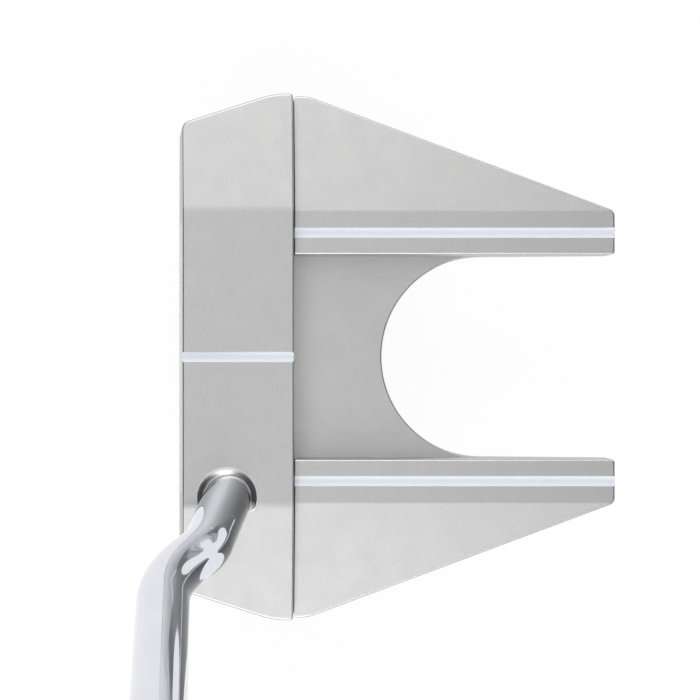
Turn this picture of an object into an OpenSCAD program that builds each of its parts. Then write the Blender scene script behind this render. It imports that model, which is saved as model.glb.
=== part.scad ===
/* [Head] */
// Heel-to-toe length of the head
head_length = 103.5; // [100:0.5:108]
// Height of the bar's flat crown above the sole
crown_height = 25; // [24:0.5:28]
// Front-to-back depth of the bar at its crown
bar_depth = 21.6; // [21:0.2:24]
// Loft of the strike face in degrees
loft = 2; // [0:0.5:4]
// Radius of the bar's top edges
edge_radius = 0.6; // [0.3:0.1:1]
// Distance from the centre line to the crease where the crown starts to fall
crease_y = 28.6; // [27:0.2:31]
// Fall of the crown outside the creases in degrees
shoulder_fall = 12.5; // [8:0.5:15]
// Half width of the flat part of the sole
sole_flat_y = 24; // [20:1:26]
// Rise of the sole outside its flat part in degrees
sole_rise = 5; // [2:0.5:7]
// Inward slant of the bar's toe and heel ends towards the face
end_taper = 6.2; // [4:0.2:8]
// Length of the bar's full-width stretch in front of its back edge
end_straight = 3.7; // [3.4:0.1:5]

/* [Rear frame] */
// Reach of the fangs behind the bar
fang_reach = 63.2; // [58:0.2:70]
// Step from the crown down to the tops of the fangs
rail_drop = 4.5; // [3:0.5:6]
// Clear gap between the two fangs
fang_gap = 40.2; // [38:0.2:44]
// Height of the recessed panel above the sole
panel_height = 11; // [9:0.5:13]
// Front-to-back depth of the recessed panel on the centre line
panel_depth = 18.2; // [14:0.2:22]
// Length of each wing's full-width stretch behind the bar
wing_straight = 3.2; // [2.4:0.2:6]
// Rise of the underside at the fang tips
tail_rise = 12; // [8:0.5:13]

/* [Sight lines] */
// Width of the painted grooves
line_width = 2.05; // [1.5:0.05:3]
// Depth of the painted grooves
line_depth = 0.8; // [0.5:0.05:1]
// Depth of the paint's surface below the metal, at a groove's edges
paint_below = 0.1; // [0.05:0.05:0.2]

/* [Face insert] */
// Length of the insert along the face
insert_length = 55; // [44:1:58]
// Height of the insert
insert_height = 15; // [12:0.5:16]
// Thickness of the insert
insert_thick = 3.4; // [2.5:0.1:3.6]
// Height of the insert's middle above the sole
insert_mid = 13.5; // [12.5:0.5:14]
// Corner radius of the insert
insert_corner = 3.5; // [2:0.5:5]
// Thickness of the adhesive film behind the insert
film_thick = 0.3; // [0.2:0.1:0.5]

/* [Shaft] */
// Lie angle between the shaft and the ground in degrees
lie = 70; // [68:1:73]
// Length of the putter along the shaft, from the ground to the end of the grip
putter_length = 864; // [813:1:915]
// Outer diameter of the shaft's tip
tip_d = 9.4; // [9:0.1:9.5]
// Outer diameter of the shaft's butt
butt_d = 14.7; // [14:0.1:15.2]
// Wall thickness of the shaft
shaft_wall = 0.55; // [0.4:0.05:0.8]
// Depth of the shaft in the head, along its own axis
socket_depth = 17; // [15:0.5:17.5]
// Straight length of the tip above the crown
tip_rise = 19.4; // [16:0.2:26]
// Forward lean of the tip from the lie direction in degrees
tip_lean = 10.6; // [8:0.1:12]
// Forward turn of the lower bend in degrees
lower_turn = 19.8; // [16:0.1:26]
// Radius of the lower bend
lower_radius = 19.5; // [16:0.5:28]
// Straight length between the two bends
bend_straight = 2; // [1:0.5:6]
// Radius of the upper bend
upper_radius = 34.2; // [28:0.2:42]
// Number of steps from the tip diameter to the butt diameter
step_count = 9; // [5:1:12]
// Length of each step
step_length = 38; // [30:1:40]
// Straight length between the upper bend and the first step
first_step = 150; // [100:5:160]

/* [Grip] */
// Length of the grip
grip_length = 266; // [240:1:270]
// Width of the grip across its flat front
grip_width = 26; // [24:0.5:30]
// Thickness of the rubber at the grip's mouth
mouth_wall = 2.2; // [1.8:0.1:3]
// Backward swell of the grip near its end
grip_swell = 7; // [4:0.5:9]
// Thickness of the tape under the grip
tape_thick = 0.2; // [0.1:0.05:0.3]
// Thickness of the end cap's rim
cap_thick = 5; // [4:0.5:7]
// Diameter of the vent hole in the end cap
vent_d = 3.2; // [2.5:0.1:4]

/* [Weights and screws] */
// Diameter of the sole weights' heads
weight_d = 12; // [10:0.5:12]
// Diameter of the sole weights' threaded stems
stem_d = 8; // [6:0.5:9]
// Height of the sole weights' heads
weight_head = 3.5; // [3:0.5:4]
// Height of the sole weights' stems
weight_stem = 6; // [4:0.5:7]
// Distance of the sole weights from the centre line
weight_y = 39; // [38.8:0.2:40]
// Width across the flats of the key sockets in the weights
weight_key = 5; // [4:0.5:6]
// Diameter of the frame screws' threads
screw_d = 4; // [3:0.5:4]
// Length of the frame screws
screw_length = 14; // [12:0.5:16]

/* [Hidden] */
$fn = 96;

// Colours
satin_steel = [0.74, 0.74, 0.73];
bright_white = [0.94, 0.94, 0.96];
dark_steel = [0.45, 0.45, 0.47];
chrome_bright = [0.82, 0.84, 0.87];
rubber_black = [0.06, 0.06, 0.065];
film_amber = [0.75, 0.66, 0.42];

// Head: x runs back from the face, y runs to the toe, z runs up from the sole
half_length = head_length / 2;
bar_front = -bar_depth / 2;
bar_back = bar_depth / 2;
face_foot = bar_front - crown_height * tan(loft);
end_corner = 0.7;
end_round = 18;
face_corner = 2.2;
tall = 60;
fall_per_mm = tan(shoulder_fall);
rise_per_mm = tan(sole_rise);
rail_height = crown_height - rail_drop;
fang_tip = bar_back + fang_reach;
fang_inner = fang_gap / 2;
rail_middle = (fang_inner + crease_y) / 2;
cutout_radius = fang_inner;
cutout_x = bar_back + panel_depth + cutout_radius;
tip_corner = 1.6;
wing_corner = 9;
tip_wing = 0.1;
foot_corner = 0.6;

// Shadow gap between the bar and the frame
seam_gap = 0.45;
seam_depth = 1.5;

// Tongue of the rear frame that lies under the bar
tongue_reach = 8.4;
tongue_height = 6;
tongue_half = 32;
tongue_gap = 0.1;

// Painted grooves: round-bottomed channels
groove_r = (pow(line_width / 2, 2) + pow(line_depth, 2)) / (2 * line_depth);
groove_axis = groove_r - line_depth;
paint_depth = line_depth * 0.55;
paint_end = 0.15;
paint_half = sqrt(pow(groove_r, 2) - pow(groove_axis + paint_below, 2));
paint_sag = paint_depth - paint_below;
paint_r = (pow(paint_half, 2) + pow(paint_sag, 2)) / (2 * paint_sag);

// Insert pocket, square to the lofted face
pocket_depth = insert_thick + film_thick;
insert_slant = 1.6;

// Shaft socket in the heel side of the crown
socket_x = -2.05;
socket_y = -27.65;
socket_r = tip_d / 2 + 0.15;
bond_below = 1;

// Raised collar round the shaft, with a hollow flank that fades out on the heel slope
collar_x = -2;
collar_y = -27.1;
collar_r = 5.75;
collar_height = 1;
collar_hollow = 1.9;
collar_sink = 0.03;
collar_back = 2.6;
collar_reach = collar_r + sqrt(2 * collar_hollow * collar_sink - pow(collar_sink, 2));

// Shaft path in its own plane: out is forward of the lie direction, up is along it
turned = tip_lean + lower_turn;
function heading(a) = [sin(a), cos(a)];
function across(a) = [cos(a), -sin(a)];
tip_top = tip_rise * heading(tip_lean);
lower_centre = tip_top + lower_radius * across(tip_lean);
lower_top = lower_centre - lower_radius * across(turned);
upper_foot = lower_top + bend_straight * heading(turned);
upper_centre = upper_foot - upper_radius * across(turned);
main_foot = upper_centre + upper_radius * across(0);
main_start = (crown_height + main_foot.y * sin(lie)) / sin(lie);
main_length = putter_length - cap_thick - main_start;
tip_r = tip_d / 2;
butt_r = butt_d / 2;
step_rise = (butt_r - tip_r) / step_count;
step_blend = 1.2;
plug_length = 8;

// Short knee between the bends, a hair thicker than the tube that it joins
knee_lap = 0.6;
knee_swell = 0.12;

// Grip: stations from its mouth to its end
grip_start = main_length - grip_length;
tape_r = butt_r + tape_thick;
tape_margin = 4;
grip_rings = 34;
grip_sides = 48;

// Sole weights and frame screws
weight_x = -2.5;
weight_recess = 0.3;
weight_gap = 0.15;
weight_foot = (weight_y + weight_d / 2 - sole_flat_y) * rise_per_mm + weight_recess;
key_depth = 3;
screw_x = bar_back - 4.4;
screw_ys = [-28, -8, 8, 28];
screw_head_r = screw_d;
screw_key = screw_d * 0.625;
screw_sink = 0.4;
screw_gap = 0.1;

// Points along an arc of a circle
function arc(centre, r, from, to, steps) =
    [for (i = [0 : steps]) centre + r * [cos(from + (to - from) * i / steps), sin(from + (to - from) * i / steps)]];

// Points of a polygon with each corner rounded
function rounded(points, radii, steps = 5) = [
    for (i = [0 : len(points) - 1])
        let (
            p = points[i],
            before = points[(i + len(points) - 1) % len(points)] - p,
            after = points[(i + 1) % len(points)] - p,
            u = before / norm(before),
            v = after / norm(after),
            half = acos(u * v) / 2,
            reach = radii[i] / tan(half),
            middle = p + (u + v) / norm(u + v) * radii[i] / sin(half),
            a = atan2((p + u * reach - middle).y, (p + u * reach - middle).x),
            b = atan2((p + v * reach - middle).y, (p + v * reach - middle).x),
            turn = b - a > 180 ? b - a - 360 : b - a < -180 ? b - a + 360 : b - a
        )
        if (radii[i] == 0) each [p] else each arc(middle, radii[i], a, a + turn, steps)
];

// Height of the sole at a distance from the centre line
function sole_at(y) = max(0, (abs(y) - sole_flat_y) * rise_per_mm);

// Prism of a plan outline
module plan_prism(points) {
    translate([0, 0, -tall / 2])
        linear_extrude(tall * 2)
            polygon(points);
}

// Prism of a side outline drawn in x and z, as wide as the head and more
module side_prism(points) {
    rotate([90, 0, 0])
        linear_extrude(head_length * 2, center = true)
            polygon(points);
}

// Prism of a front outline drawn in y and z, running back from one x to another
module front_prism(points, from, to) {
    translate([from, 0, 0])
        rotate([90, 0, 90])
            linear_extrude(to - from)
                polygon(points);
}

// Front outline of the head with its crown at a given height
function head_front(top, corner) =
    let (
        drop = (half_length - crease_y) * fall_per_mm,
        rise = sole_at(half_length),
        side = [
            [sole_flat_y, 0],
            [half_length, rise],
            [half_length, top - drop],
            [crease_y, top]
        ],
        other = [for (i = [3 : -1 : 0]) [-side[i].x, side[i].y]]
    )
    rounded(concat(side, other), [0, 1, corner, 0, 0, corner, 1, 0]);

// Round-bottomed groove along x, with its rim at a given height
module groove(y, top, from, to) {
    translate([from, y, top + groove_axis])
        rotate([0, 90, 0])
            cylinder(r = groove_r, h = to - from);
}

// Paint lying in a groove, with a hollow surface just under the metal
module paint(y, top, from, to) {
    difference() {
        intersection() {
            groove(y, top, from, to);
            translate([from, y - line_width, top - tall])
                cube([to - from, line_width * 2, tall - paint_below]);
        }
        translate([from - 1, y, top - paint_depth + paint_r])
            rotate([0, 90, 0])
                cylinder(r = paint_r, h = to - from + 2);
    }
}

// Plan outline of the bar: ends that draw in towards the face
function bar_plan() =
    let (
        side = [
            [face_foot, half_length - end_taper],
            [bar_back - end_straight, half_length],
            [bar_back, half_length]
        ],
        other = [for (i = [2 : -1 : 0]) [side[i].x, -side[i].y]],
        corners = [face_corner, end_round, end_corner]
    )
    rounded(concat(side, other), concat(corners, [for (i = [2 : -1 : 0]) corners[i]]), 6);

// Side outline of the bar with its lofted face
function bar_side() = rounded(
    [[face_foot, 0], [bar_back, 0], [bar_back, crown_height], [bar_front, crown_height]],
    [0.8, 0, edge_radius, edge_radius]);

// Outline of the insert in the plane of the face: along the face, then up it
function insert_outline(clear) =
    let (w = insert_length / 2 + clear, h = insert_height / 2 + clear)
    rounded([[-w, h], [w, h], [w - insert_slant, -h], [-w + insert_slant, -h]],
            [insert_corner, insert_corner, insert_corner, insert_corner], 8);

// Places a shape drawn on the face: x along the toe direction, y up the face, z into the bar
module on_face() {
    translate([face_foot + insert_mid * tan(loft), 0, insert_mid])
        rotate([0, loft, 0])
            rotate([90, 0, 90])
                children();
}

// Places the tip's own axis on z, with zero at the crown
module along_tip() {
    translate([socket_x, socket_y, crown_height])
        rotate([90 - lie, 0, 0])
            rotate([0, -tip_lean, 0])
                children();
}

// Places the main shaft's own axis on z, with zero at the end of the upper bend
module along_main() {
    translate([socket_x, socket_y, crown_height])
        rotate([90 - lie, 0, 0])
            translate([-main_foot.x, 0, main_foot.y])
                children();
}

// Raised collar on the crown, filled in the middle
module socket_collar() {
    intersection() {
        translate([collar_x, collar_y, crown_height - collar_height])
            rotate_extrude()
                difference() {
                    square([collar_r, 2 * collar_height]);
                    translate([collar_reach, collar_height - collar_sink + collar_hollow])
                        circle(r = collar_hollow);
                }
        translate([-tall, collar_y - collar_back, 0])
            cube([2 * tall, tall, tall]);
    }
}

// Countersunk screw standing on its head, cut oversize by a clearance
module screw_shape(clear) {
    cylinder(r1 = screw_head_r + clear, r2 = screw_d / 2 + clear, h = screw_d / 2);
    cylinder(r = screw_d / 2 + clear, h = screw_length + clear);
}

// Places a shape at each frame screw, head down
module at_screws() {
    for (y = screw_ys)
        translate([screw_x, y, sole_at(abs(y) + screw_head_r) + screw_sink])
            children();
}

// Space under the bar for the rear frame's tongue
module tongue_space(clear) {
    translate([bar_back - tongue_reach - clear, -tongue_half - clear, -1])
        cube([tongue_reach + clear + 1, 2 * (tongue_half + clear), tongue_height + clear + 1]);
}

// Sole weight standing head down on z, cut oversize by a clearance
module weight_shape(clear) {
    cylinder(r = weight_d / 2 + clear, h = weight_head + clear);
    cylinder(r = stem_d / 2 + clear, h = weight_head + weight_stem + clear);
}

module front_bar() {
    color(satin_steel)
        difference() {
            union() {
                intersection() {
                    plan_prism(bar_plan());
                    side_prism(bar_side());
                    front_prism(head_front(crown_height, edge_radius), face_foot - 1, bar_back + 1);
                }
                socket_collar();
            }
            on_face()
                translate([0, 0, -1])
                    linear_extrude(pocket_depth + 1)
                        polygon(insert_outline(0));
            groove(0, crown_height, face_foot - 1, bar_back + 1);
            along_tip()
                translate([0, 0, -socket_depth])
                    cylinder(r = socket_r, h = socket_depth + 4);
            tongue_space(tongue_gap);
            at_screws()
                cylinder(r = screw_d / 2 + screw_gap, h = screw_length + 1);
            for (side = [-1, 1])
                translate([weight_x, side * weight_y, weight_foot]) {
                    weight_shape(weight_gap);
                    translate([0, 0, -tall])
                        cylinder(r = weight_d / 2 + weight_gap, h = tall);
                }
        }
}

// Plan outline of the rear frame without its cut-out
function frame_plan() =
    let (
        corner_x = bar_back + wing_straight,
        side = [
            [bar_back, half_length],
            [corner_x, half_length],
            [fang_tip, crease_y + tip_wing],
            [fang_tip, 0]
        ],
        other = [for (i = [2 : -1 : 0]) [side[i].x, -side[i].y]]
    )
    rounded(concat(side, other), [foot_corner, wing_corner, tip_corner, 0, tip_corner, wing_corner, foot_corner], 6);

// Space of the shadow gap, above the shoulder where the bar and the frame meet
module seam_space() {
    translate([bar_back - 1, -half_length - 1, panel_height - seam_depth])
        cube([1 + seam_gap, 2 * half_length + 2, rail_height]);
}

module rear_frame() {
    color(satin_steel)
        difference() {
            union() {
                intersection() {
                    plan_prism(frame_plan());
                    side_prism(rounded(
                        [[bar_back, 0], [fang_tip, tail_rise], [fang_tip, rail_height], [bar_back, rail_height]],
                        [0, 0.8, edge_radius, 0]));
                    front_prism(head_front(rail_height, edge_radius), bar_back, fang_tip + 1);
                }
                intersection() {
                    translate([bar_back - tongue_reach, -tongue_half, 0])
                        cube([tongue_reach + 1, 2 * tongue_half, tongue_height]);
                    front_prism(head_front(rail_height, edge_radius), -tall, bar_back + 1);
                }
            }
            translate([bar_back, -fang_inner, panel_height])
                cube([fang_reach + 1, fang_gap, tall]);
            translate([cutout_x, 0, -1])
                cylinder(r = cutout_radius, h = tall);
            translate([cutout_x, -fang_inner, -1])
                cube([fang_reach, fang_gap, tall]);
            for (side = [-1, 1])
                groove(side * rail_middle, rail_height, bar_back - 1, fang_tip + 1);
            seam_space();
            at_screws() {
                screw_shape(screw_gap);
                translate([0, 0, -tall])
                    cylinder(r = screw_head_r + screw_gap, h = tall);
            }
        }
}

module face_insert() {
    color(bright_white)
        on_face()
            linear_extrude(insert_thick)
                polygon(insert_outline(-0.05));
}

module insert_film() {
    color(film_amber)
        on_face()
            translate([0, 0, insert_thick])
                linear_extrude(film_thick)
                    polygon(insert_outline(-0.4));
}

module front_sight_line() {
    color(bright_white)
        intersection() {
            paint(0, crown_height, bar_front, bar_back);
            side_prism(bar_side());
        }
}

module fang_line(side) {
    color(bright_white)
        paint(side * rail_middle, rail_height, bar_back + seam_gap, fang_tip - paint_end);
}

module toe_fang_line() {
    fang_line(1);
}

module heel_fang_line() {
    fang_line(-1);
}

module frame_screws() {
    color(dark_steel)
        at_screws()
            difference() {
                screw_shape(0);
                translate([0, 0, -1])
                    cylinder(d = screw_key / cos(30), h = screw_d * 0.55 + 1, $fn = 6);
            }
}

module sole_weight(side) {
    color(dark_steel)
        translate([weight_x, side * weight_y, weight_foot])
            difference() {
                weight_shape(0);
                translate([0, 0, -1])
                    cylinder(d = weight_key / cos(30), h = key_depth + 1, $fn = 6);
            }
}

module toe_weight() {
    sole_weight(1);
}

module heel_weight() {
    sole_weight(-1);
}

// Bent stretch of tube that starts at the origin, along z, and turns away from x
module tube_bend(bend_r, sweep, tube_r) {
    translate([-bend_r, 0, 0])
        rotate([90, 0, 0])
            rotate_extrude(angle = sweep)
                translate([bend_r, 0])
                    circle(r = tube_r);
}

// Radius of the shaft after a number of steps
function stepped(i) = tip_r + i * step_rise;

// Half outline of the stepped main shaft, drawn in from the tube's surface
function main_outline(inset, over) = concat(
    [[0, 0]],
    [[tip_r - inset, 0]],
    [for (i = [1 : step_count], up = [0, 1])
        [stepped(i - 1 + up) - inset, first_step + (i - 1) * step_length + up * step_blend]],
    [[butt_r - inset, main_length + over], [0, main_length + over]]);

// Solid shaft along its whole path, drawn in from the tube's surface
module shaft_path(inset, over) {
    r = tip_r - inset;
    along_tip() {
        translate([0, 0, -socket_depth - over])
            cylinder(r = r, h = socket_depth + over + tip_rise);
        translate([0, 0, tip_rise]) {
            tube_bend(lower_radius, lower_turn, r);
            translate([-lower_radius, 0, 0])
                rotate([0, -lower_turn, 0])
                    translate([lower_radius, 0, -knee_lap])
                        cylinder(r = r + knee_swell, h = bend_straight + 2 * knee_lap);
        }
    }
    along_main() {
        rotate([180, 0, 0])
            mirror([1, 0, 0])
                tube_bend(upper_radius, turned, r);
        rotate_extrude()
            polygon(main_outline(inset, over));
    }
}

module shaft() {
    color(chrome_bright)
        difference() {
            shaft_path(0, 0);
            shaft_path(shaft_wall, 1);
        }
}

module shaft_bond() {
    color(film_amber)
        difference() {
            intersection() {
                along_tip()
                    translate([0, 0, -socket_depth])
                        cylinder(r = socket_r, h = socket_depth + 2);
                translate([-tall, -tall, 0])
                    cube([2 * tall, 2 * tall, crown_height - bond_below]);
            }
            along_tip()
                translate([0, 0, -socket_depth - 1])
                    cylinder(r = tip_r, h = socket_depth + tip_rise);
        }
}

module tip_plug() {
    color(film_amber)
        along_tip()
            translate([0, 0, -socket_depth])
                cylinder(r = tip_r - shaft_wall, h = plug_length);
}

module grip_tape() {
    color(film_amber)
        along_main()
            translate([0, 0, grip_start + tape_margin])
                difference() {
                    cylinder(r = tape_r, h = grip_length - tape_margin);
                    translate([0, 0, -1])
                        cylinder(r = butt_r, h = grip_length + 2);
                }
}

// Smooth step from 0 to 1 while t runs between two stations
function ease(t, from, to) =
    let (s = min(1, max(0, (t - from) / (to - from))))
    s * s * (3 - 2 * s);

// Half width, front and back reach of the grip's section at a station from mouth to end
function grip_half(t) =
    tape_r + mouth_wall + (grip_width / 2 - tape_r - mouth_wall) * ease(t, 0, 0.75);
function grip_front(t) = tape_r + mouth_wall - 0.4 * ease(t, 0, 0.2) + 0.6 * ease(t, 0.2, 0.9);
function grip_back(t) =
    tape_r + mouth_wall + grip_swell * ease(t, 0.55, 0.92) + 2 * ease(t, 0.1, 0.6);

// Point of the grip's section at an angle from its right side: a flat front, a round back
function grip_point(t, a) =
    let (
        w = grip_half(t),
        flat = 0.62 * ease(t, 0.02, 0.3),
        front = grip_front(t),
        back = grip_back(t),
        c = cos(a),
        s = sin(a)
    )
    s >= 0
        ? [w * c, min(w * s, w * s * (1 - flat) + front * flat * min(1, 3 * s))]
        : [w * c, back * s];

// Rubber body of the grip as one lofted solid between two stations
module grip_body(from, to, rings) {
    points = [
        for (i = [0 : rings], k = [0 : grip_sides - 1])
            let (t = from + (to - from) * i / rings, p = grip_point(t, k * 360 / grip_sides))
            [p.x, p.y, t * grip_length]
    ];
    sides = [
        for (i = [0 : rings - 1], k = [0 : grip_sides - 1])
            let (a = i * grip_sides + k, b = i * grip_sides + (k + 1) % grip_sides)
            each [[a, a + grip_sides, b], [b, a + grip_sides, b + grip_sides]]
    ];
    mouth = [for (k = [0 : grip_sides - 1]) k];
    end = [for (k = [grip_sides - 1 : -1 : 0]) rings * grip_sides + k];
    polyhedron(points, concat(sides, [mouth], [end]));
}

// Places the grip with its mouth on z zero and its flat front facing the way the thumbs lie
module along_grip() {
    along_main()
        translate([0, 0, grip_start])
            children();
}

module grip() {
    color(rubber_black)
        along_grip()
            difference() {
                grip_body(0, 1, grip_rings);
                translate([0, 0, -1])
                    cylinder(r = tape_r, h = grip_length + 2);
            }
}

module grip_cap() {
    color(rubber_black)
        along_grip()
            translate([0, 0, grip_length])
                difference() {
                    intersection() {
                        linear_extrude(cap_thick)
                            polygon([for (k = [0 : grip_sides - 1]) grip_point(1, k * 360 / grip_sides)]);
                        translate([0, -grip_swell / 2, cap_thick - 40])
                            sphere(r = 40);
                    }
                    translate([0, 0, -1])
                        cylinder(d = vent_d, h = cap_thick + 2);
                }
}

front_bar();
rear_frame();
face_insert();
insert_film();
front_sight_line();
toe_fang_line();
heel_fang_line();
frame_screws();
toe_weight();
heel_weight();
shaft();
shaft_bond();
tip_plug();
grip_tape();
grip();
grip_cap();
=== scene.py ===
"""Looks of a mallet putter: its head, shaft and grip, the floor, the studio and the camera."""
import logging
import math
from dataclasses import dataclass, field
from enum import Enum
from typing import Callable, Iterable, Sequence

import bmesh
import bpy
from mathutils import Matrix, Vector
from mathutils.geometry import delaunay_2d_cdt


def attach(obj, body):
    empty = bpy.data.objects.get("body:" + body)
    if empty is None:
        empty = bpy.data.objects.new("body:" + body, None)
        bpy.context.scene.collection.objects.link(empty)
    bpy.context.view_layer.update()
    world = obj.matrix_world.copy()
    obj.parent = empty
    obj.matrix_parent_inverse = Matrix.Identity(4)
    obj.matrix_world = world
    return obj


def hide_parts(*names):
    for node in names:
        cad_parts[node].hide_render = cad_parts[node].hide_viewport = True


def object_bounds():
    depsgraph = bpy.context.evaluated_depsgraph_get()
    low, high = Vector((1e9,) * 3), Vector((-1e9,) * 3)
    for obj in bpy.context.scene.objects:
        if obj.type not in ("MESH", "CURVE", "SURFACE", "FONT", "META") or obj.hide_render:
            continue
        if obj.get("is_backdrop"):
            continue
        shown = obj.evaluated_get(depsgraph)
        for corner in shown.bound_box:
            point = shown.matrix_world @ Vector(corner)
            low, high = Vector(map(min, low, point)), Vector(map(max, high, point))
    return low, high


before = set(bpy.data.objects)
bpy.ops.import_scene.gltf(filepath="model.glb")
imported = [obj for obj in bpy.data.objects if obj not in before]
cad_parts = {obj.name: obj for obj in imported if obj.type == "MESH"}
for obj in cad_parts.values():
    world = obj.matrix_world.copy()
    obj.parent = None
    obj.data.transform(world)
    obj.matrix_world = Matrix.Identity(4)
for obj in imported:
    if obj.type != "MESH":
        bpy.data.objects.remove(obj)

# Sizes are in millimetres unless a docstring says otherwise, and MM turns them into metres.
MM = 0.001
# Points within NEAR millimetres count as one place, and a mesh's points within WELD metres become one.
NEAR = 1e-4
WELD = 2e-6
# What the triangulation keeps, and the distance at which it ties points together.
KEEP_INSIDE = 1
TIE = 1e-6
# Most values of a noise lie between these.
NOISE_SPAN = (0.3, 0.7)
# Upward part of a face's normal on a rounded rim, between the wall and the flat top.
RIM_SLOPE = (0.05, 0.97)

log = logging.getLogger("putter")

Pair = tuple[float, float]
Triple = tuple[float, float, float]
Colour = Triple
Piece = bpy.types.Object
Socket = bpy.types.NodeSocket


class Body(Enum):
    """Rigid bodies that the pieces move with."""

    PUTTER = "putter"
    TOE_WEIGHT = "toe_weight"
    HEEL_WEIGHT = "heel_weight"


class Slot(Enum):
    """Finish slots of the record."""

    HEAD = "head_metal"
    STEEL = "steel_parts"
    CHROME = "shaft_chrome"
    RUBBER = "grip_rubber"


class Cut(Enum):
    """Ways in which one solid works on another."""

    AWAY = "DIFFERENCE"
    ON = "UNION"


def bare_material(name: str) -> bpy.types.Material:
    """Starts a material with an empty node tree.

    Args:
        name: The material's name.

    Returns:
        The material.
    """
    material = bpy.data.materials.new(name)
    material.use_nodes = True
    material.node_tree.nodes.clear()
    return material


class Shading:
    """Node tree of one material, with short calls for the nodes that the finishes share."""

    def __init__(self, name: str) -> None:
        """Starts a material with one principled surface.

        Args:
            name: The material's name.
        """
        self.material = bare_material(name)
        self.tree = self.material.node_tree
        self.surface = self.node("ShaderNodeBsdfPrincipled")
        output = self.node("ShaderNodeOutputMaterial")
        self.join(self.surface.outputs["BSDF"], output.inputs["Surface"])
        self.place = self.node("ShaderNodeTexCoord").outputs["Object"]

    def node(self, kind: str) -> bpy.types.Node:
        """Adds a node of a kind."""
        return self.tree.nodes.new(kind)

    def join(self, source: Socket, target: Socket) -> None:
        """Links two sockets."""
        self.tree.links.new(source, target)

    def fix(self, socket: str, value: float) -> None:
        """Sets a socket of the surface to one value all over."""
        self.surface.inputs[socket].default_value = value

    def feed(self, source: Socket, socket: str) -> None:
        """Links a node's output to a socket of the surface."""
        self.join(source, self.surface.inputs[socket])

    def placed(self, turn: Triple = (0, 0, 0), stretch: Triple = (1, 1, 1),
               shift: Triple = (0, 0, 0)) -> Socket:
        """Gives the piece's own coordinates after a stretch, a turn and a shift.

        Args:
            turn: Turn about each axis in degrees.
            stretch: Factor along each axis.
            shift: Shift in metres.

        Returns:
            The socket with the coordinates.
        """
        mapping = self.node("ShaderNodeMapping")
        mapping.inputs["Location"].default_value = shift
        mapping.inputs["Rotation"].default_value = [math.radians(a) for a in turn]
        mapping.inputs["Scale"].default_value = stretch
        self.join(self.place, mapping.inputs["Vector"])
        return mapping.outputs["Vector"]

    def noise(self, grain: float, layers: float, at: Socket | None = None) -> Socket:
        """Adds a noise whose spots have a given size.

        Args:
            grain: Size of the spots.
            layers: Number of finer layers.
            at: Coordinates to read, or the piece's own.

        Returns:
            The noise's value.
        """
        noise = self.node("ShaderNodeTexNoise")
        noise.inputs["Scale"].default_value = 1.0 / (grain * MM)
        noise.inputs["Detail"].default_value = layers
        self.join(at or self.place, noise.inputs["Vector"])
        return noise.outputs["Fac"]

    def spread(self, source: Socket, low: float, high: float) -> Socket:
        """Maps a noise onto another range.

        Args:
            source: The noise's value.
            low: Result at the low end of its span.
            high: Result at the high end.

        Returns:
            The mapped value.
        """
        ranged = self.node("ShaderNodeMapRange")
        ends = {"From Min": NOISE_SPAN[0], "From Max": NOISE_SPAN[1], "To Min": low, "To Max": high}
        for name, value in ends.items():
            ranged.inputs[name].default_value = value
        self.join(source, ranged.inputs["Value"])
        return ranged.outputs["Result"]

    def blend(self, source: Socket, low: Colour, high: Colour) -> Socket:
        """Blends two colours by a noise.

        Args:
            source: The noise's value.
            low: Colour at the low end of its span.
            high: Colour at the high end.

        Returns:
            The blended colour.
        """
        ramp = self.node("ShaderNodeValToRGB")
        for stop, position, colour in zip(ramp.color_ramp.elements, NOISE_SPAN, (low, high)):
            stop.position = position
            stop.color = (*colour, 1.0)
        self.join(source, ramp.inputs["Fac"])
        return ramp.outputs["Color"]

    def bump(self, height: Socket, depth: float, strength: float) -> None:
        """Raises fine relief on the surface, on top of any relief it already has.

        Args:
            height: The relief, from 0 to 1.
            depth: Its depth.
            strength: How much of it shows.
        """
        bump = self.node("ShaderNodeBump")
        bump.inputs["Strength"].default_value = strength
        bump.inputs["Distance"].default_value = depth * MM
        normal = self.surface.inputs["Normal"]
        if normal.is_linked:
            self.join(normal.links[0].from_socket, bump.inputs["Normal"])
        self.join(height, bump.inputs["Height"])
        self.join(bump.outputs["Normal"], normal)


@dataclass(frozen=True)
class Finish:
    """A finish of two close colours in clouds, an uneven gloss in patches of haze and a fine grain.

    Cloud, haze and grain are sizes, each with its number of finer layers. Relief is the depth of the grain,
    and strength how much of it shows.
    """

    name: str
    low: Colour
    high: Colour
    rough: Pair
    cloud: float
    haze: float
    relief: float
    strength: float
    metallic: float = 0.0
    specular: float = 0.5
    grain: float = 0.3
    cloud_layers: float = 3.0
    haze_layers: float = 3.0
    grain_layers: float = 2.0

    def spread_over(self, s: Shading) -> Socket:
        """Gives the coordinates of the clouds and the grain."""
        return s.place

    def add_form(self, s: Shading) -> None:
        """Adds what only one finish has, under its grain."""

    def texture(self, s: Shading) -> Socket:
        """Gives the height of the grain."""
        return s.noise(self.grain, self.grain_layers, self.spread_over(s))

    def make(self) -> bpy.types.Material:
        """Makes the material.

        Returns:
            The new material.
        """
        s = Shading(self.name)
        s.fix("Metallic", self.metallic)
        s.fix("Specular IOR Level", self.specular)
        clouds = s.noise(self.cloud, self.cloud_layers, self.spread_over(s))
        s.feed(s.blend(clouds, self.low, self.high), "Base Color")
        s.feed(s.spread(s.noise(self.haze, self.haze_layers), *self.rough), "Roughness")
        self.add_form(s)
        s.bump(self.texture(s), self.relief, self.strength)
        return s.material

    def material(self) -> bpy.types.Material:
        """Gives the material, which is made when it is first asked for."""
        return bpy.data.materials.get(self.name) or self.make()


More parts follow.
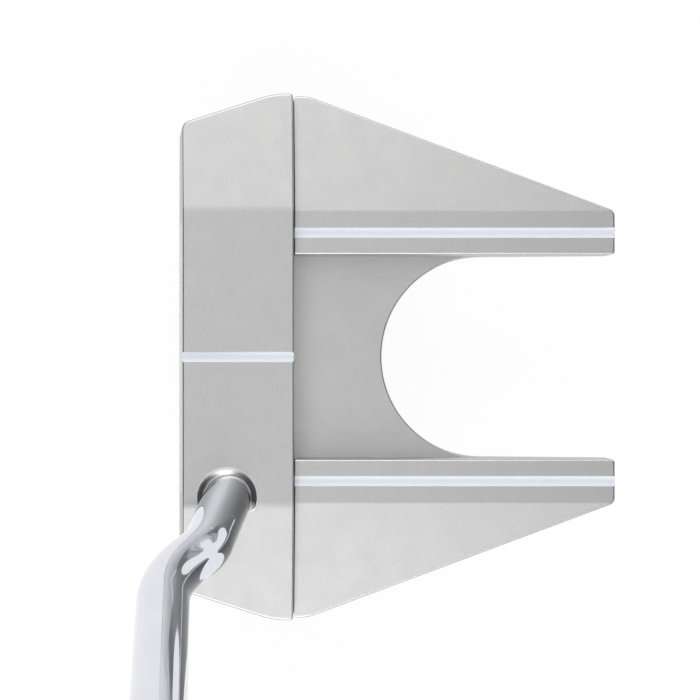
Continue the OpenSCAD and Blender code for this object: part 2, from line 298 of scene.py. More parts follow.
@dataclass(frozen=True)
class SatinMetal(Finish):
    """Bead-blasted aluminium: fine even grain, soft sheen."""

    name: str = "satin_metal"
    low: Colour = (0.465, 0.465, 0.464)
    high: Colour = (0.515, 0.515, 0.514)
    rough: Pair = (0.40, 0.43)
    cloud: float = 0.3
    haze: float = 4.2
    grain: float = 0.3
    relief: float = 0.012
    strength: float = 0.5
    metallic: float = 1.0
    cloud_layers: float = 2.0


@dataclass(frozen=True)
class LinePaint(Finish):
    """White enamel lying in a groove."""

    name: str = "line_paint"
    low: Colour = (0.85, 0.9, 0.995)
    high: Colour = (0.89, 0.935, 1.0)
    rough: Pair = (0.28, 0.4)
    cloud: float = 2.2
    haze: float = 0.8
    grain: float = 0.5
    relief: float = 0.01
    strength: float = 0.4
    specular: float = 1.0


@dataclass(frozen=True)
class SoftUrethane(Finish):
    """Cast white urethane with faint mould lines. The depth of its glow is in metres."""

    name: str = "soft_urethane"
    low: Colour = (0.88, 0.90, 0.94)
    high: Colour = (0.93, 0.945, 0.98)
    rough: Pair = (0.42, 0.55)
    cloud: float = 3.0
    haze: float = 0.6
    grain: float = 0.25
    relief: float = 0.01
    strength: float = 0.4
    glow: float = 0.08
    glow_depth: float = 0.001
    lines_scale: float = 160.0
    lines_relief: float = 0.05
    lines_strength: float = 0.35

    def add_form(self, s: Shading) -> None:
        """Adds the light under the skin and the mould lines.

        Args:
            s: The finish's node tree.
        """
        s.fix("Subsurface Weight", self.glow)
        s.fix("Subsurface Scale", self.glow_depth)
        lines = s.node("ShaderNodeTexWave")
        lines.bands_direction = "Z"
        lines.inputs["Scale"].default_value = self.lines_scale
        lines.inputs["Distortion"].default_value = 0.0
        s.join(s.place, lines.inputs["Vector"])
        s.bump(lines.outputs["Fac"], self.lines_relief, self.lines_strength)


@dataclass(frozen=True)
class PolishedChrome(Finish):
    """Bright chrome plate on drawn tube."""

    name: str = "polished_chrome"
    low: Colour = (0.715, 0.733, 0.78)
    high: Colour = (0.745, 0.763, 0.81)
    rough: Pair = (0.035, 0.07)
    cloud: float = 9.0
    haze: float = 9.0
    grain: float = 6.0
    relief: float = 0.004
    strength: float = 0.15
    metallic: float = 1.0
    cloud_layers: float = 4.0
    haze_layers: float = 4.0
    grain_layers: float = 1.0


@dataclass(frozen=True)
class TurnedSteel(Finish):
    """Turned stainless steel with fine tool rings about an upright axis."""

    name: str = "turned_steel"
    low: Colour = (0.42, 0.42, 0.44)
    high: Colour = (0.56, 0.56, 0.58)
    rough: Pair = (0.24, 0.38)
    cloud: float = 1.2
    haze: float = 0.7
    relief: float = 0.01
    strength: float = 0.4
    metallic: float = 1.0
    axis: Pair = (0.0, 0.0)
    rings_scale: float = 900.0
    rings_waver: float = 0.6

    def texture(self, s: Shading) -> Socket:
        """Gives the height of the tool rings.

        Args:
            s: The finish's node tree.

        Returns:
            The height.
        """
        rings = s.node("ShaderNodeTexWave")
        rings.wave_type = "RINGS"
        rings.rings_direction = "Z"
        rings.inputs["Scale"].default_value = self.rings_scale
        rings.inputs["Distortion"].default_value = self.rings_waver
        s.join(s.placed(shift=(-self.axis[0] * MM, -self.axis[1] * MM, 0.0)), rings.inputs["Vector"])
        return rings.outputs["Fac"]


@dataclass(frozen=True)
class MouldedRubber(Finish):
    """Black grip rubber with a pebbled skin."""

    name: str = "moulded_rubber"
    low: Colour = (0.016, 0.016, 0.018)
    high: Colour = (0.032, 0.032, 0.035)
    rough: Pair = (0.55, 0.72)
    cloud: float = 7.0
    haze: float = 2.5
    relief: float = 0.02
    strength: float = 0.4
    cloud_layers: float = 4.0
    pebble: float = 0.9
    pebble_relief: float = 0.12
    pebble_strength: float = 0.5

    def add_form(self, s: Shading) -> None:
        """Adds the pebbles.

        Args:
            s: The finish's node tree.
        """
        cells = s.node("ShaderNodeTexVoronoi")
        cells.inputs["Scale"].default_value = 1.0 / (self.pebble * MM)
        s.join(s.place, cells.inputs["Vector"])
        s.bump(cells.outputs["Distance"], self.pebble_relief, self.pebble_strength)


@dataclass(frozen=True)
class CuredBond(Finish):
    """Cured adhesive, dark and a little glossy."""

    name: str = "cured_bond"
    low: Colour = (0.03, 0.028, 0.026)
    high: Colour = (0.06, 0.056, 0.05)
    rough: Pair = (0.3, 0.5)
    cloud: float = 1.5
    haze: float = 0.8
    grain: float = 0.9
    relief: float = 0.06
    strength: float = 0.5
    grain_layers: float = 3.0


@dataclass(frozen=True)
class MouldedPlastic(Finish):
    """Plain moulded plastic with a fine skin."""

    name: str = "moulded_plastic"
    low: Colour = (0.22, 0.22, 0.24)
    high: Colour = (0.28, 0.28, 0.30)
    rough: Pair = (0.45, 0.6)
    cloud: float = 2.0
    haze: float = 0.5
    relief: float = 0.02
    strength: float = 0.5


@dataclass(frozen=True)
class CrepeTape(Finish):
    """Creped paper tape, with its folds square to the shaft."""

    name: str = "crepe_tape"
    low: Colour = (0.70, 0.64, 0.48)
    high: Colour = (0.82, 0.77, 0.62)
    rough: Pair = (0.75, 0.9)
    cloud: float = 1.0
    haze: float = 0.6
    grain: float = 1.0
    relief: float = 0.08
    strength: float = 0.6
    grain_layers: float = 3.0
    turn: Triple = (-20, 0, 0)
    stretch: Triple = (0.3, 0.3, 2.0)

    def spread_over(self, s: Shading) -> Socket:
        """Gives the coordinates of the folds."""
        return s.placed(turn=self.turn, stretch=self.stretch)


def dress(piece: Piece, finish: Finish) -> Piece:
    """Gives a piece one finish all over.

    Args:
        piece: The piece.
        finish: Its finish.

    Returns:
        The same piece.
    """
    piece.data.materials.clear()
    piece.data.materials.append(finish.material())
    return piece


def burnish(piece: Piece, finish: Finish, bright: Callable[[Vector, Vector], bool]) -> Piece:
    """Gives some faces of a dressed piece a smoother finish.

    Args:
        piece: The piece.
        finish: The smoother finish.
        bright: Tells from the middle of a face and its normal whether it takes the finish.

    Returns:
        The same piece.
    """
    piece.data.materials.append(finish.material())
    for face in piece.data.polygons:
        face.material_index = int(bright(face.center / MM, face.normal))
    return piece


def place(piece: Piece, body: Body, node: str) -> None:
    """Puts a new piece on its body in place of the solid that it stands for.

    Args:
        piece: The new piece.
        body: The body that carries it.
        node: Name of the solid that it stands for.
    """
    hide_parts(node)
    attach(piece, body.value)
    log.info("%s: %d faces, stands for %s", piece.name, len(piece.data.polygons), node)


def ease(t: float, low: float, high: float) -> float:
    """Rises smoothly from 0 to 1 while a value runs between two ends.

    Args:
        t: The value.
        low: Where the rise starts.
        high: Where it ends.

    Returns:
        The share of the rise.
    """
    s = min(1.0, max(0.0, (t - low) / (high - low)))
    return s * s * (3 - 2 * s)


def round_angles(count: int) -> list[float]:
    """Gives evenly spaced angles round a circle."""
    return [math.tau * k / count for k in range(count)]


def rounded(radius: float, steps: int) -> list[Pair]:
    """Gives the rings of a rounded rim, from the wall to the top.

    Args:
        radius: The rim's radius.
        steps: Number of steps.

    Returns:
        How far each ring lies in from the wall and below the top.
    """
    turns = [math.pi / 2 * k / steps for k in range(steps + 1)]
    return [(radius * (1 - math.cos(a)), radius * (1 - math.sin(a))) for a in turns]


def inside(point: Pair, loop: Sequence[Pair]) -> bool:
    """Tells whether a point lies inside a closed loop.

    Args:
        point: The point.
        loop: The loop's points in order.

    Returns:
        True inside.
    """
    x, y = point
    hit = False
    for (ax, ay), (bx, by) in zip(loop, [*loop[1:], loop[0]]):
        if (ay > y) != (by > y) and x < ax + (y - ay) * (bx - ax) / (by - ay):
            hit = not hit
    return hit


def weld(mesh: bpy.types.Mesh, turn_out: bool = False) -> None:
    """Joins the points of a mesh that lie in one place, and warns of open edges.

    Args:
        mesh: The mesh.
        turn_out: Whether its faces are turned to look outwards too.
    """
    work = bmesh.new()
    work.from_mesh(mesh)
    bmesh.ops.remove_doubles(work, verts=work.verts[:], dist=WELD)
    bmesh.ops.dissolve_degenerate(work, edges=work.edges[:], dist=WELD / 4)
    if turn_out:
        bmesh.ops.recalc_face_normals(work, faces=work.faces[:])
    loose = sum(not edge.is_manifold for edge in work.edges)
    work.to_mesh(mesh)
    work.free()
    if loose:
        log.warning("%s has %d open edges", mesh.name, loose)


def stand(name: str, mesh: bpy.types.Mesh) -> Piece:
    """Puts a mesh into the scene.

    Args:
        name: The new object's name.
        mesh: The mesh.

    Returns:
        The new object.
    """
    made = bpy.data.objects.new(name, mesh)
    bpy.context.scene.collection.objects.link(made)
    return made


class Skin:
    """Points and faces of one piece, before they become a mesh."""

    def __init__(self) -> None:
        """Starts empty."""
        self.points: list[Vector] = []
        self.faces: list[tuple[int, ...]] = []

    def add(self, points: Iterable[Sequence[float]]) -> list[int]:
        """Adds points.

        Args:
            points: Their x, y and z.

        Returns:
            Their numbers.
        """
        first = len(self.points)
        self.points.extend(Vector(p) for p in points)
        return list(range(first, len(self.points)))

    def bridge(self, low: Sequence[int], high: Sequence[int], closed: bool = True) -> None:
        """Lays quads between two rows of points.

        Args:
            low: One row.
            high: The other, with as many points.
            closed: Whether the rows are rings.
        """
        for i in range(len(low) if closed else len(low) - 1):
            j = (i + 1) % len(low)
            self.faces.append((low[i], low[j], high[j], high[i]))

    def loft(self, rows: Sequence[Sequence[int]], closed: bool = True) -> None:
        """Lays quads from each row of points to the next.

        Args:
            rows: The rows, all with as many points.
            closed: Whether the rows are rings.
        """
        for low, high in zip(rows, rows[1:]):
            self.bridge(low, high, closed)

    def lid(self, ring: Sequence[int]) -> None:
        """Closes a ring with one face."""
        self.faces.append(tuple(ring))

    def nearest(self, ring: Sequence[int], spot: Pair) -> int:
        """Finds the point of a ring that is nearest to a spot in plan."""
        return min(ring, key=lambda i: (self.points[i].xy - Vector(spot)).length)

    def fill(self, ring: Sequence[int], lines: Sequence[tuple[int, int]] = (),
             holes: Sequence[Sequence[int]] = ()) -> None:
        """Fills a ring with triangles that keep to lines across it and stay out of holes.

        Args:
            ring: The ring.
            lines: Pairs of points to be joined by an edge.
            holes: Rings to be left open.
        """
        loops = [ring, *holes]
        used = list(dict.fromkeys(i for row in [*loops, *lines] for i in row))
        number = {i: k for k, i in enumerate(used)}
        flat = [Vector(self.points[i][:2]) for i in used]
        edges = [(number[a], number[b]) for a, b in lines]
        for loop in loops:
            edges += [(number[a], number[b]) for a, b in zip(loop, [*loop[1:], loop[0]])]
        outer = [number[i] for i in ring]
        spots, _, faces, origins, _, _ = delaunay_2d_cdt(flat, edges, [outer], KEEP_INSIDE, TIE)
        open_loops = [[tuple(self.points[i][:2]) for i in hole] for hole in holes]
        for face in faces:
            middle = sum((spots[k] for k in face), Vector((0.0, 0.0))) / len(face)
            if any(inside(tuple(middle), loop) for loop in open_loops):
                continue
            if all(origins[k] for k in face):
                self.faces.append(tuple(used[origins[k][0]] for k in face))

    def piece(self, name: str) -> Piece:
        """Makes the mesh, welded and with its faces turned out.

        Args:
            name: The piece's name.

        Returns:
            The new object.
        """
        mesh = bpy.data.meshes.new(name)
        mesh.from_pydata([p * MM for p in self.points], [], self.faces)
        weld(mesh, turn_out=True)
        return stand(name, mesh)


def carve(piece: Piece, tools: Sequence[tuple[Cut, Piece]]) -> Piece:
    """Works on a piece with other solids and removes them.

    Args:
        piece: The piece.
        tools: What to do and the solid to do it with, in order.

    Returns:
        The same piece with its new mesh.
    """
    for cut, tool in tools:
        step = piece.modifiers.new("carve", "BOOLEAN")
        step.operation = cut.value
        step.solver = "EXACT"
        step.object = tool
    bpy.context.view_layer.update()
    made = bpy.data.meshes.new_from_object(piece.evaluated_get(bpy.context.evaluated_depsgraph_get()))
    piece.modifiers.clear()
    old, piece.data = piece.data, made
    made.name = piece.name
    bpy.data.meshes.remove(old)
    for _, tool in tools:
        bpy.data.objects.remove(tool)
    weld(made)
    return piece


def smooth(piece: Piece, crease: float = 30.0, weight: int = 80) -> Piece:
    """Shades a piece smooth, with creases where its faces meet at more than an angle.

    Args:
        piece: The piece.
        crease: The angle in degrees.
        weight: How much more the large faces count, where 50 is even.

    Returns:
        The same piece.
    """
    piece.data.shade_smooth()
    piece.data.set_sharp_from_angle(angle=math.radians(crease))
    flat = piece.modifiers.new("flat_faces", "WEIGHTED_NORMAL")
    flat.keep_sharp = True
    flat.weight = weight
    return piece


def rod(name: str, at: Matrix, rings: Sequence[Pair], sides: int = 64) -> Piece:
    """Turns a solid about its own axis.

    Args:
        name: The solid's name.
        at: Where its axis stands.
        rings: Radius and height of each ring, from one end to the other.
        sides: Number of sides.

    Returns:
        The new solid.
    """
    skin = Skin()
    rows = [skin.add(at @ Vector((r * math.cos(a), r * math.sin(a), z)) for a in round_angles(sides))
            for r, z in rings]
    skin.loft(rows)
    skin.lid(rows[0])
    skin.lid(rows[-1])
    return skin.piece(name)


def slab(name: str, at: Matrix, loop: Sequence[Pair], low: float, high: float) -> Piece:
    """Makes a straight-sided solid from an outline.

    Args:
        name: The solid's name.
        at: Where its plane lies.
        loop: The outline.
        low: Height of its foot.
        high: Height of its top.

    Returns:
        The new solid.
    """
    skin = Skin()
    foot, top = (skin.add(at @ Vector((x, y, z)) for x, y in loop) for z in (low, high))
    skin.bridge(foot, top)
    skin.lid(foot)
    skin.lid(top)
    return skin.piece(name)


@dataclass(frozen=True)
class Corner:
    """A corner of a plan outline and the edge that follows it.

    The edge is drawn in with the outline where it is eased, and has a point at each of its stations.
    """

    x: float
    y: float
    radius: float = 0.0
    steps: int = 6
    eased: bool = True
    stations: tuple[float, ...] = ()


@dataclass(frozen=True)
class Outline:
    """A closed plan outline, counter-clockwise, that can be drawn in."""

    corners: tuple[Corner, ...]
    least_radius: float = 0.06

    def ring(self, inset: float) -> list[Pair]:
        """Gives the outline drawn in along its eased edges.

        Args:
            inset: Distance to draw in.

        Returns:
            The points, always as many and in the same order.
        """
        lines = []
        for c, n in zip(self.corners, [*self.corners[1:], self.corners[0]]):
            along = Vector((n.x - c.x, n.y - c.y)).normalized()
            inward = Vector((-along.y, along.x)) * (inset if c.eased else 0.0)
            lines.append((Vector((c.x, c.y)) + inward, along))
        points: list[Pair] = []
        for i, c in enumerate(self.corners):
            (p, d), (q, e) = lines[i - 1], lines[i]
            turn = d.x * e.y - d.y * e.x
            reach = ((q.x - p.x) * e.y - (q.y - p.y) * e.x) / turn
            tip = p + d * reach
            if c.radius > 0.0:
                radius = max(c.radius - inset, self.least_radius)
                angle = math.atan2(turn, d.dot(e))
                middle = tip - d * radius * math.tan(angle / 2) + Vector((-d.y, d.x)) * radius
                start = math.atan2(-d.x, d.y)
                for k in range(c.steps + 1):
                    a = start + angle * k / c.steps
                    points.append((middle.x + radius * math.cos(a), middle.y + radius * math.sin(a)))
            else:
                points.append(tuple(tip))
            upright = abs(e.y) > abs(e.x)
            for s in c.stations:
                t = (s - q.y) / e.y if upright else (s - q.x) / e.x
                points.append(tuple(q + e * t))
        return points


@dataclass(frozen=True)
class Groove:
    """A round-bottomed channel along the head, with softened lips.

    Spots are the distances of the lines along the channel from its middle. Each lip has its depth too.
    """

    y: float
    width: float = 2.05
    depth: float = 0.8
    spots: tuple[float, ...] = (0.0, 0.3, 0.55, 0.75, 0.88, 0.96)
    lips: tuple[Pair, ...] = ((1.0, 0.085), (1.02, 0.03), (1.05, 0.0))

    def stations(self) -> list[float]:
        """Gives the y of each line along the channel, from low to high."""
        spots = [*self.spots, *(spot for spot, _ in self.lips)]
        return [self.y - u for u in reversed(spots)] + [self.y + u for u in spots[1:]]

    def drop(self, y: float) -> float:
        """Gives the channel's depth below the metal.

        Args:
            y: Distance from the centre line.

        Returns:
            The depth, or less than nothing outside the channel.
        """
        u = abs(y - self.y)
        for spot, depth in self.lips:
            if abs(u - spot) < NEAR:
                return depth
        if u > self.lips[-1][0]:
            return -math.inf
        radius = ((self.width / 2) ** 2 + self.depth ** 2) / (2 * self.depth)
        return math.sqrt(max(radius ** 2 - u ** 2, 0.0)) - (radius - self.depth)


@dataclass(frozen=True)
class Crown:
    """Height of a top that is flat in the middle and falls to the toe and heel."""

    top: float
    crease: float = 28.6
    fall: float = math.tan(math.radians(12.5))
    soft: float = 0.9

    def height(self, y: float) -> float:
        """Gives the height at a distance from the centre line.

        Args:
            y: The distance.

        Returns:
            The height above the sole.
        """
        over = abs(y) - self.crease
        if over <= -self.soft:
            return self.top
        if over >= self.soft:
            return self.top - over * self.fall
        return self.top - self.fall * (over + self.soft) ** 2 / (4 * self.soft)

    def grooved(self, y: float, drop: float, groove: Groove) -> float:
        """Gives the height of a rim that a groove runs through.

        Args:
            y: Distance from the centre line.
            drop: How far the rim lies below the top.
            groove: The groove.

        Returns:
            The height above the sole.
        """
        plain = self.height(y)
        return min(plain - drop, plain - groove.drop(y))

    def stations(self) -> list[float]:
        """Gives the y of each line of the toe crease, from low to high."""
        return [self.crease + self.soft * k / 2 for k in (-2, -1, 0, 1, 2)]


@dataclass(frozen=True)
class Sole:
    """Height of a sole that is flat in the middle and rises to the toe and heel."""

    flat: float = 24.0
    rise: float = math.tan(math.radians(5.0))

    def height(self, y: float) -> float:
        """Gives the height at a distance from the centre line."""
        return max(0.0, (abs(y) - self.flat) * self.rise)


@dataclass(frozen=True)
class Collar:
    """Raised collar that leans with the shaft, with a hollow flank that fades out on the heel slope.

    Tilt is the flank's slope at its foot and crest in degrees, and fade the part of the turn towards the
    heel, as a sine, over which the collar comes up. Throat is the way in to the ring inside the bore, where
    1 is the crest.
    """

    foot: Pair = (-2.12, -27.2)
    foot_radius: float = 5.87
    crest: Pair = (-2.17, -27.88)
    crest_radius: Pair = (4.77, 5.07)
    height: float = 0.5
    tilt: Pair = (9.0, 27.0)
    fade: Pair = (-0.45, -0.1)
    throat: float = 1.5
    steps: int = 10
    sides: int = 72
    least_angle: float = 0.03

    def flank(self) -> list[Pair]:
        """Gives the steps of the flank.

        Returns:
            The share of the way in and of the way up at each step.
        """
        low, high = (math.radians(a) for a in self.tilt)
        bends = [low + (high - low) * k / self.steps for k in range(self.steps + 1)]
        wide, tall = math.sin(high) - math.sin(low), math.cos(low) - math.cos(high)
        return [((math.sin(b) - math.sin(low)) / wide, (math.cos(low) - math.cos(b)) / tall) for b in bends]

    def angles(self, crossing: Sequence[float]) -> list[float]:
        """Gives the angles of the collar's points.

        Args:
            crossing: The y of lines that cross the collar's foot, which get points of their own.

        Returns:
            The angles in order.
        """
        angles = round_angles(self.sides)
        for y in crossing:
            a = math.asin((y - self.foot[1]) / self.foot_radius)
            own = [a % math.tau, (math.pi - a) % math.tau]
            angles = [b for b in angles if min(abs(b - c) for c in own) > self.least_angle] + own
        return sorted(angles)

    def point(self, angle: float, inward: float, upward: float) -> Triple:
        """Gives a point of the collar.

        Args:
            angle: Direction from the middle, from the back towards the toe.
            inward: Share of the way from the foot to the crest.
            upward: Share of the height.

        Returns:
            Its x and y, and its height above the crown.
        """
        c, s = math.cos(angle), math.sin(angle)
        x = self.foot[0] + self.foot_radius * c
        y = self.foot[1] + self.foot_radius * s
        x += (self.crest[0] + self.crest_radius[0] * c - x) * inward
        y += (self.crest[1] + self.crest_radius[1] * s - y) * inward
        return x, y, self.height * upward * ease(s, *self.fade)


@dataclass
class FrontBar:
    """Upright bar of the head, with the collar for the shaft and the sight groove.

    The face leans from lean_start behind its edge, and fully from lean_span nearer to it.
    """

    front: float = -10.8
    back: float = 10.95
    half: float = 51.75
    taper_x: float = 7.1
    front_half: float = 45.838
    face_corner: float = 1.9
    taper_corner: float = 18.0
    taper_steps: int = 12
    back_corner: float = 0.7
    lean: float = math.tan(math.radians(2.0))
    lean_start: float = 2.6
    lean_span: float = 2.0
    rim: float = 0.4
    rim_steps: int = 6
    foot_rim: float = 0.8
    foot_steps: int = 4
    mouth_floor: float = 23.3
    sole: Sole = Sole()
    collar: Collar = Collar()
    crown: Crown = Crown(25.0)
    groove: Groove = Groove(0.0)
    finish: SatinMetal = SatinMetal()

    def stations(self) -> list[float]:
        """Gives the y of the lines that run across the bar.

        Returns:
            The lines from low to high.
        """
        toe = self.crown.stations()
        flat = self.sole.flat
        return [-y for y in reversed(toe)] + [-flat] + self.groove.stations() + [flat] + toe

    def outline(self, back_eased: bool) -> Outline:
        """Gives the bar's plan.

        Args:
            back_eased: Whether the back edge is drawn in too.

        Returns:
            The outline.
        """
        lines = tuple(self.stations())
        return Outline((
            Corner(self.front, -self.front_half, self.face_corner),
            Corner(self.taper_x, -self.half, self.taper_corner, self.taper_steps),
            Corner(self.back, -self.half, self.back_corner, eased=back_eased, stations=lines),
            Corner(self.back, self.half, self.back_corner),
            Corner(self.taper_x, self.half, self.taper_corner, self.taper_steps),
            Corner(self.front, self.front_half, self.face_corner, stations=lines[::-1]),
        ))

    def leaned(self, x: float, y: float, z: float) -> Vector:
        """Leans a point of the face by the loft.

        Args:
            x: Distance back from the middle.
            y: Distance to the toe.
            z: Height.

        Returns:
            The point on the lofted bar.
        """
        share = min(1.0, max(0.0, (self.front + self.lean_start - x) / self.lean_span))
        return Vector((x - (self.crown.top - z) * self.lean * share, y, z))

    def is_bright(self, at: Vector, normal: Vector) -> bool:
        """Tells whether a face lies on the collar or on the rounded rim of the crown.

        Args:
            at: The middle of the face.
            normal: Its normal.

        Returns:
            True on either.
        """
        out = at.xy - Vector(self.collar.foot)
        if at.z > self.mouth_floor and out.length < self.collar.foot_radius:
            return out.y > self.collar.fade[0] * self.collar.foot_radius
        return RIM_SLOPE[0] < normal.z < RIM_SLOPE[1] and at.z > self.crown.height(at.y) - self.rim

    def collar_ring(self, angles: Sequence[float], inward: float, upward: float) -> list[Vector]:
        """Gives a ring on the collar round the shaft.

        Args:
            angles: The ring's angles.
            inward: Share of the way from the collar's foot to its crest.
            upward: Share of its height.

        Returns:
            The points.
        """
        ring = [self.collar.point(a, inward, upward) for a in angles]
        return [Vector((x, y, self.crown.height(y) + rise)) for x, y, rise in ring]

    def across(self, skin: Skin, ring: Sequence[int], lines: Sequence[float]) -> list[tuple[int, int]]:
        """Finds the pairs of points that lie across the bar on given lines.

        Args:
            skin: The skin that holds the points.
            ring: A ring of the bar.
            lines: The y of each line.

        Returns:
            The pairs, front point first.
        """
        pairs = []
        for y in lines:
            near = [i for i in ring if abs(skin.points[i].y - y) < NEAR]
            near.sort(key=lambda i: skin.points[i].x)
            if len(near) >= 2:
                pairs.append((near[0], near[-1]))
        return pairs

    def cover(self, skin: Skin, ring: Sequence[int]) -> None:
        """Covers the crown and raises the collar on it.

        Args:
            skin: The skin to work on.
            ring: The inner ring of the rounded rim.
        """
        collar = self.collar
        crossing = [y for y in self.stations() if abs(y - collar.foot[1]) < collar.foot_radius]
        angles = collar.angles(crossing)
        rim = skin.add(self.collar_ring(angles, 0.0, 0.0))
        lines = self.across(skin, ring, [y for y in self.stations() if y not in crossing])
        outer, inner = (self.across(skin, loop, crossing) for loop in (ring, rim))
        for (front, back), (near, far) in zip(outer, inner):
            lines += [(front, near), (far, back)]
        skin.fill(ring, lines, [rim])
        rows = [rim]
        for inward, upward in [*collar.flank()[1:], (collar.throat, 1.0)]:
            rows.append(skin.add(self.collar_ring(angles, inward, upward)))
        rows.append(skin.add((skin.points[i].x, skin.points[i].y, self.mouth_floor) for i in rows[-1]))
        skin.loft(rows)
        skin.lid(rows[-1])

    def build(self) -> Piece:
        """Makes the bar's solid.

        Returns:
            The new piece.
        """
        skin = Skin()
        rows = []
        for inset, drop in rounded(self.rim, self.rim_steps):
            plan = self.outline(True).ring(inset)
            heights = [self.crown.grooved(y, drop, self.groove) for _, y in plan]
            rows.append(skin.add(self.leaned(x, y, z) for (x, y), z in zip(plan, heights)))
        skin.loft(rows)
        self.cover(skin, rows[-1])
        feet = []
        for inset, rise in rounded(self.foot_rim, self.foot_steps):
            plan = self.outline(False).ring(inset)
            feet.append(skin.add(self.leaned(x, y, self.sole.height(y) + rise) for x, y in plan))
        skin.bridge(feet[0], rows[0])
        skin.loft(feet)
        skin.fill(feet[-1], self.across(skin, feet[-1], (-self.sole.flat, self.sole.flat)))
        return skin.piece("front_bar_shell")


@dataclass
class RearFrame:
    """Rear body of the head: two fangs with outer wings, and a recessed panel with a round cut-out.

    Back is the line from which the tongue and the rising underside are measured, and front the frame's own
    wall behind the seam. A line along a fang ends within tip_zone of its tip, on a point that lies no more
    than tip_reach off it. The cut-out's rim fades out at the fangs, and takes ledge_share of the ledge there.
    """

    back: float = 10.8
    front: float = 11.3
    half: float = 51.75
    wing_x: float = 14.0
    wing_corner: float = 9.0
    wing_steps: int = 12
    front_corner: float = 0.6
    tip_x: float = 74.0
    tip_half: float = 28.7
    tip_corner: float = 1.6
    tip_steps: int = 8
    tip_inner_corner: float = 0.6
    tip_zone: float = 2.0
    tip_reach: float = 0.2
    inner: float = 20.1
    cutout_x: float = 49.1
    arc_steps: int = 48
    panel: float = 11.0
    panel_rim: float = 0.35
    panel_steps: int = 4
    ledge_share: float = 0.7
    rim: float = 0.38
    rim_steps: int = 5
    tail_rise: float = 12.0 / 63.2
    sole: Sole = Sole()
    crown: Crown = Crown(20.5, soft=0.25)
    groove: Groove = Groove(24.35)
    finish: SatinMetal = SatinMetal()

    def is_bright(self, at: Vector, normal: Vector) -> bool:
        """Tells whether a face lies on the rounded rim of a fang or of the cut-out.

        Args:
            at: The middle of the face.
            normal: Its normal.

        Returns:
            True on either.
        """
        on_fang = at.z > self.crown.height(at.y) - self.rim
        on_panel = abs(at.y) < self.inner and self.panel - self.panel_rim < at.z < self.panel
        return RIM_SLOPE[0] < normal.z < RIM_SLOPE[1] and (on_fang or on_panel)

    def fold_end(self) -> Pair:
        """Finds where the fold of the underside meets the toe wing's side.

        Returns:
            Its x and y.
        """
        lean = (self.half - self.tip_half) / (self.tip_x - self.wing_x)
        per = self.tail_rise / self.sole.rise
        x = (self.half + self.wing_x * lean - self.sole.flat + self.back * per) / (per + lean)
        return x, self.half - (x - self.wing_x) * lean

    def under(self, x: float, y: float) -> float:
        """Gives the height of the underside.

        Args:
            x: Distance back.
            y: Distance from the centre line.

        Returns:
            The height.
        """
        return max(self.sole.height(y), (x - self.back) * self.tail_rise)

    def beside_panel(self, x: float, y: float) -> bool:
        """Tells whether a point of the toe fang's plan lies on the side of the panel."""
        return y < self.inner + NEAR and x < self.cutout_x + NEAR

    def outline(self) -> Outline:
        """Gives the plan of the toe fang and its wing.

        Returns:
            The outline.
        """
        groove = self.groove.stations()
        bar_side = sorted([*groove, *self.crown.stations(), self.sole.flat], reverse=True)
        return Outline((
            Corner(self.front, self.inner, stations=(self.cutout_x,)),
            Corner(self.tip_x, self.inner, self.tip_inner_corner, stations=tuple(groove)),
            Corner(self.tip_x, self.tip_half, self.tip_corner, self.tip_steps, stations=self.fold_end()[:1]),
            Corner(self.wing_x, self.half, self.wing_corner, self.wing_steps),
            Corner(self.front, self.half, self.front_corner, eased=False, stations=tuple(bar_side)),
        ))

    def arc(self) -> list[Triple]:
        """Gives the plan of the cut-out, from heel to toe.

        Returns:
            The angle, x and y of each point.
        """
        turns = [math.pi * (k / self.arc_steps - 0.5) for k in range(self.arc_steps + 1)]
        return [(a, self.cutout_x - self.inner * math.cos(a), self.inner * math.sin(a)) for a in turns]

    def along_fang(self, skin: Skin, ring: Sequence[int]) -> list[tuple[int, int]]:
        """Finds the pairs of points that the groove and the crease run between.

        Args:
            skin: The skin that holds the points.
            ring: The inner ring of a fang's rounded rim.

        Returns:
            The pairs, the bar's side first.
        """
        bar_side = [i for i in ring if abs(skin.points[i].x - self.front) < NEAR]
        tip = [i for i in ring if skin.points[i].x > self.tip_x - self.tip_zone]
        pairs = []
        for y in self.groove.stations() + self.crown.stations():
            near, far = (min(end, key=lambda i: abs(abs(skin.points[i].y) - y)) for end in (bar_side, tip))
            if abs(abs(skin.points[far].y) - y) < self.tip_reach:
                pairs.append((near, far))
        return pairs

    def fang(self, skin: Skin, side: float) -> list[int]:
        """Makes the top and the walls of one fang.

        Args:
            skin: The skin to work on.
            side: 1 for the toe, -1 for the heel.

        Returns:
            The fang's lowest ring.
        """
        plan = self.outline()
        rows = [skin.add((x, side * y, self.crown.grooved(y, drop, self.groove)) for x, y in plan.ring(inset))
                for inset, drop in rounded(self.rim, self.rim_steps)]
        skin.loft(rows)
        skin.fill(rows[-1], self.along_fang(skin, rows[-1]))
        foot = skin.add((x, side * y, self.panel if self.beside_panel(x, y) else self.under(x, y))
                        for x, y in plan.ring(0.0))
        skin.bridge(foot, rows[0])
        # The foot ends on the panel at two corners, and a triangle closes the wall under each.
        at = foot.index(skin.nearest(foot, (self.cutout_x, side * self.inner)))
        for step, beside, x in ((0, -1, self.front), (at, at + 1, self.cutout_x)):
            below = skin.add([(x, side * self.inner, self.under(x, self.inner))])
            skin.lid([foot[step], foot[beside], below[0]])
        return foot

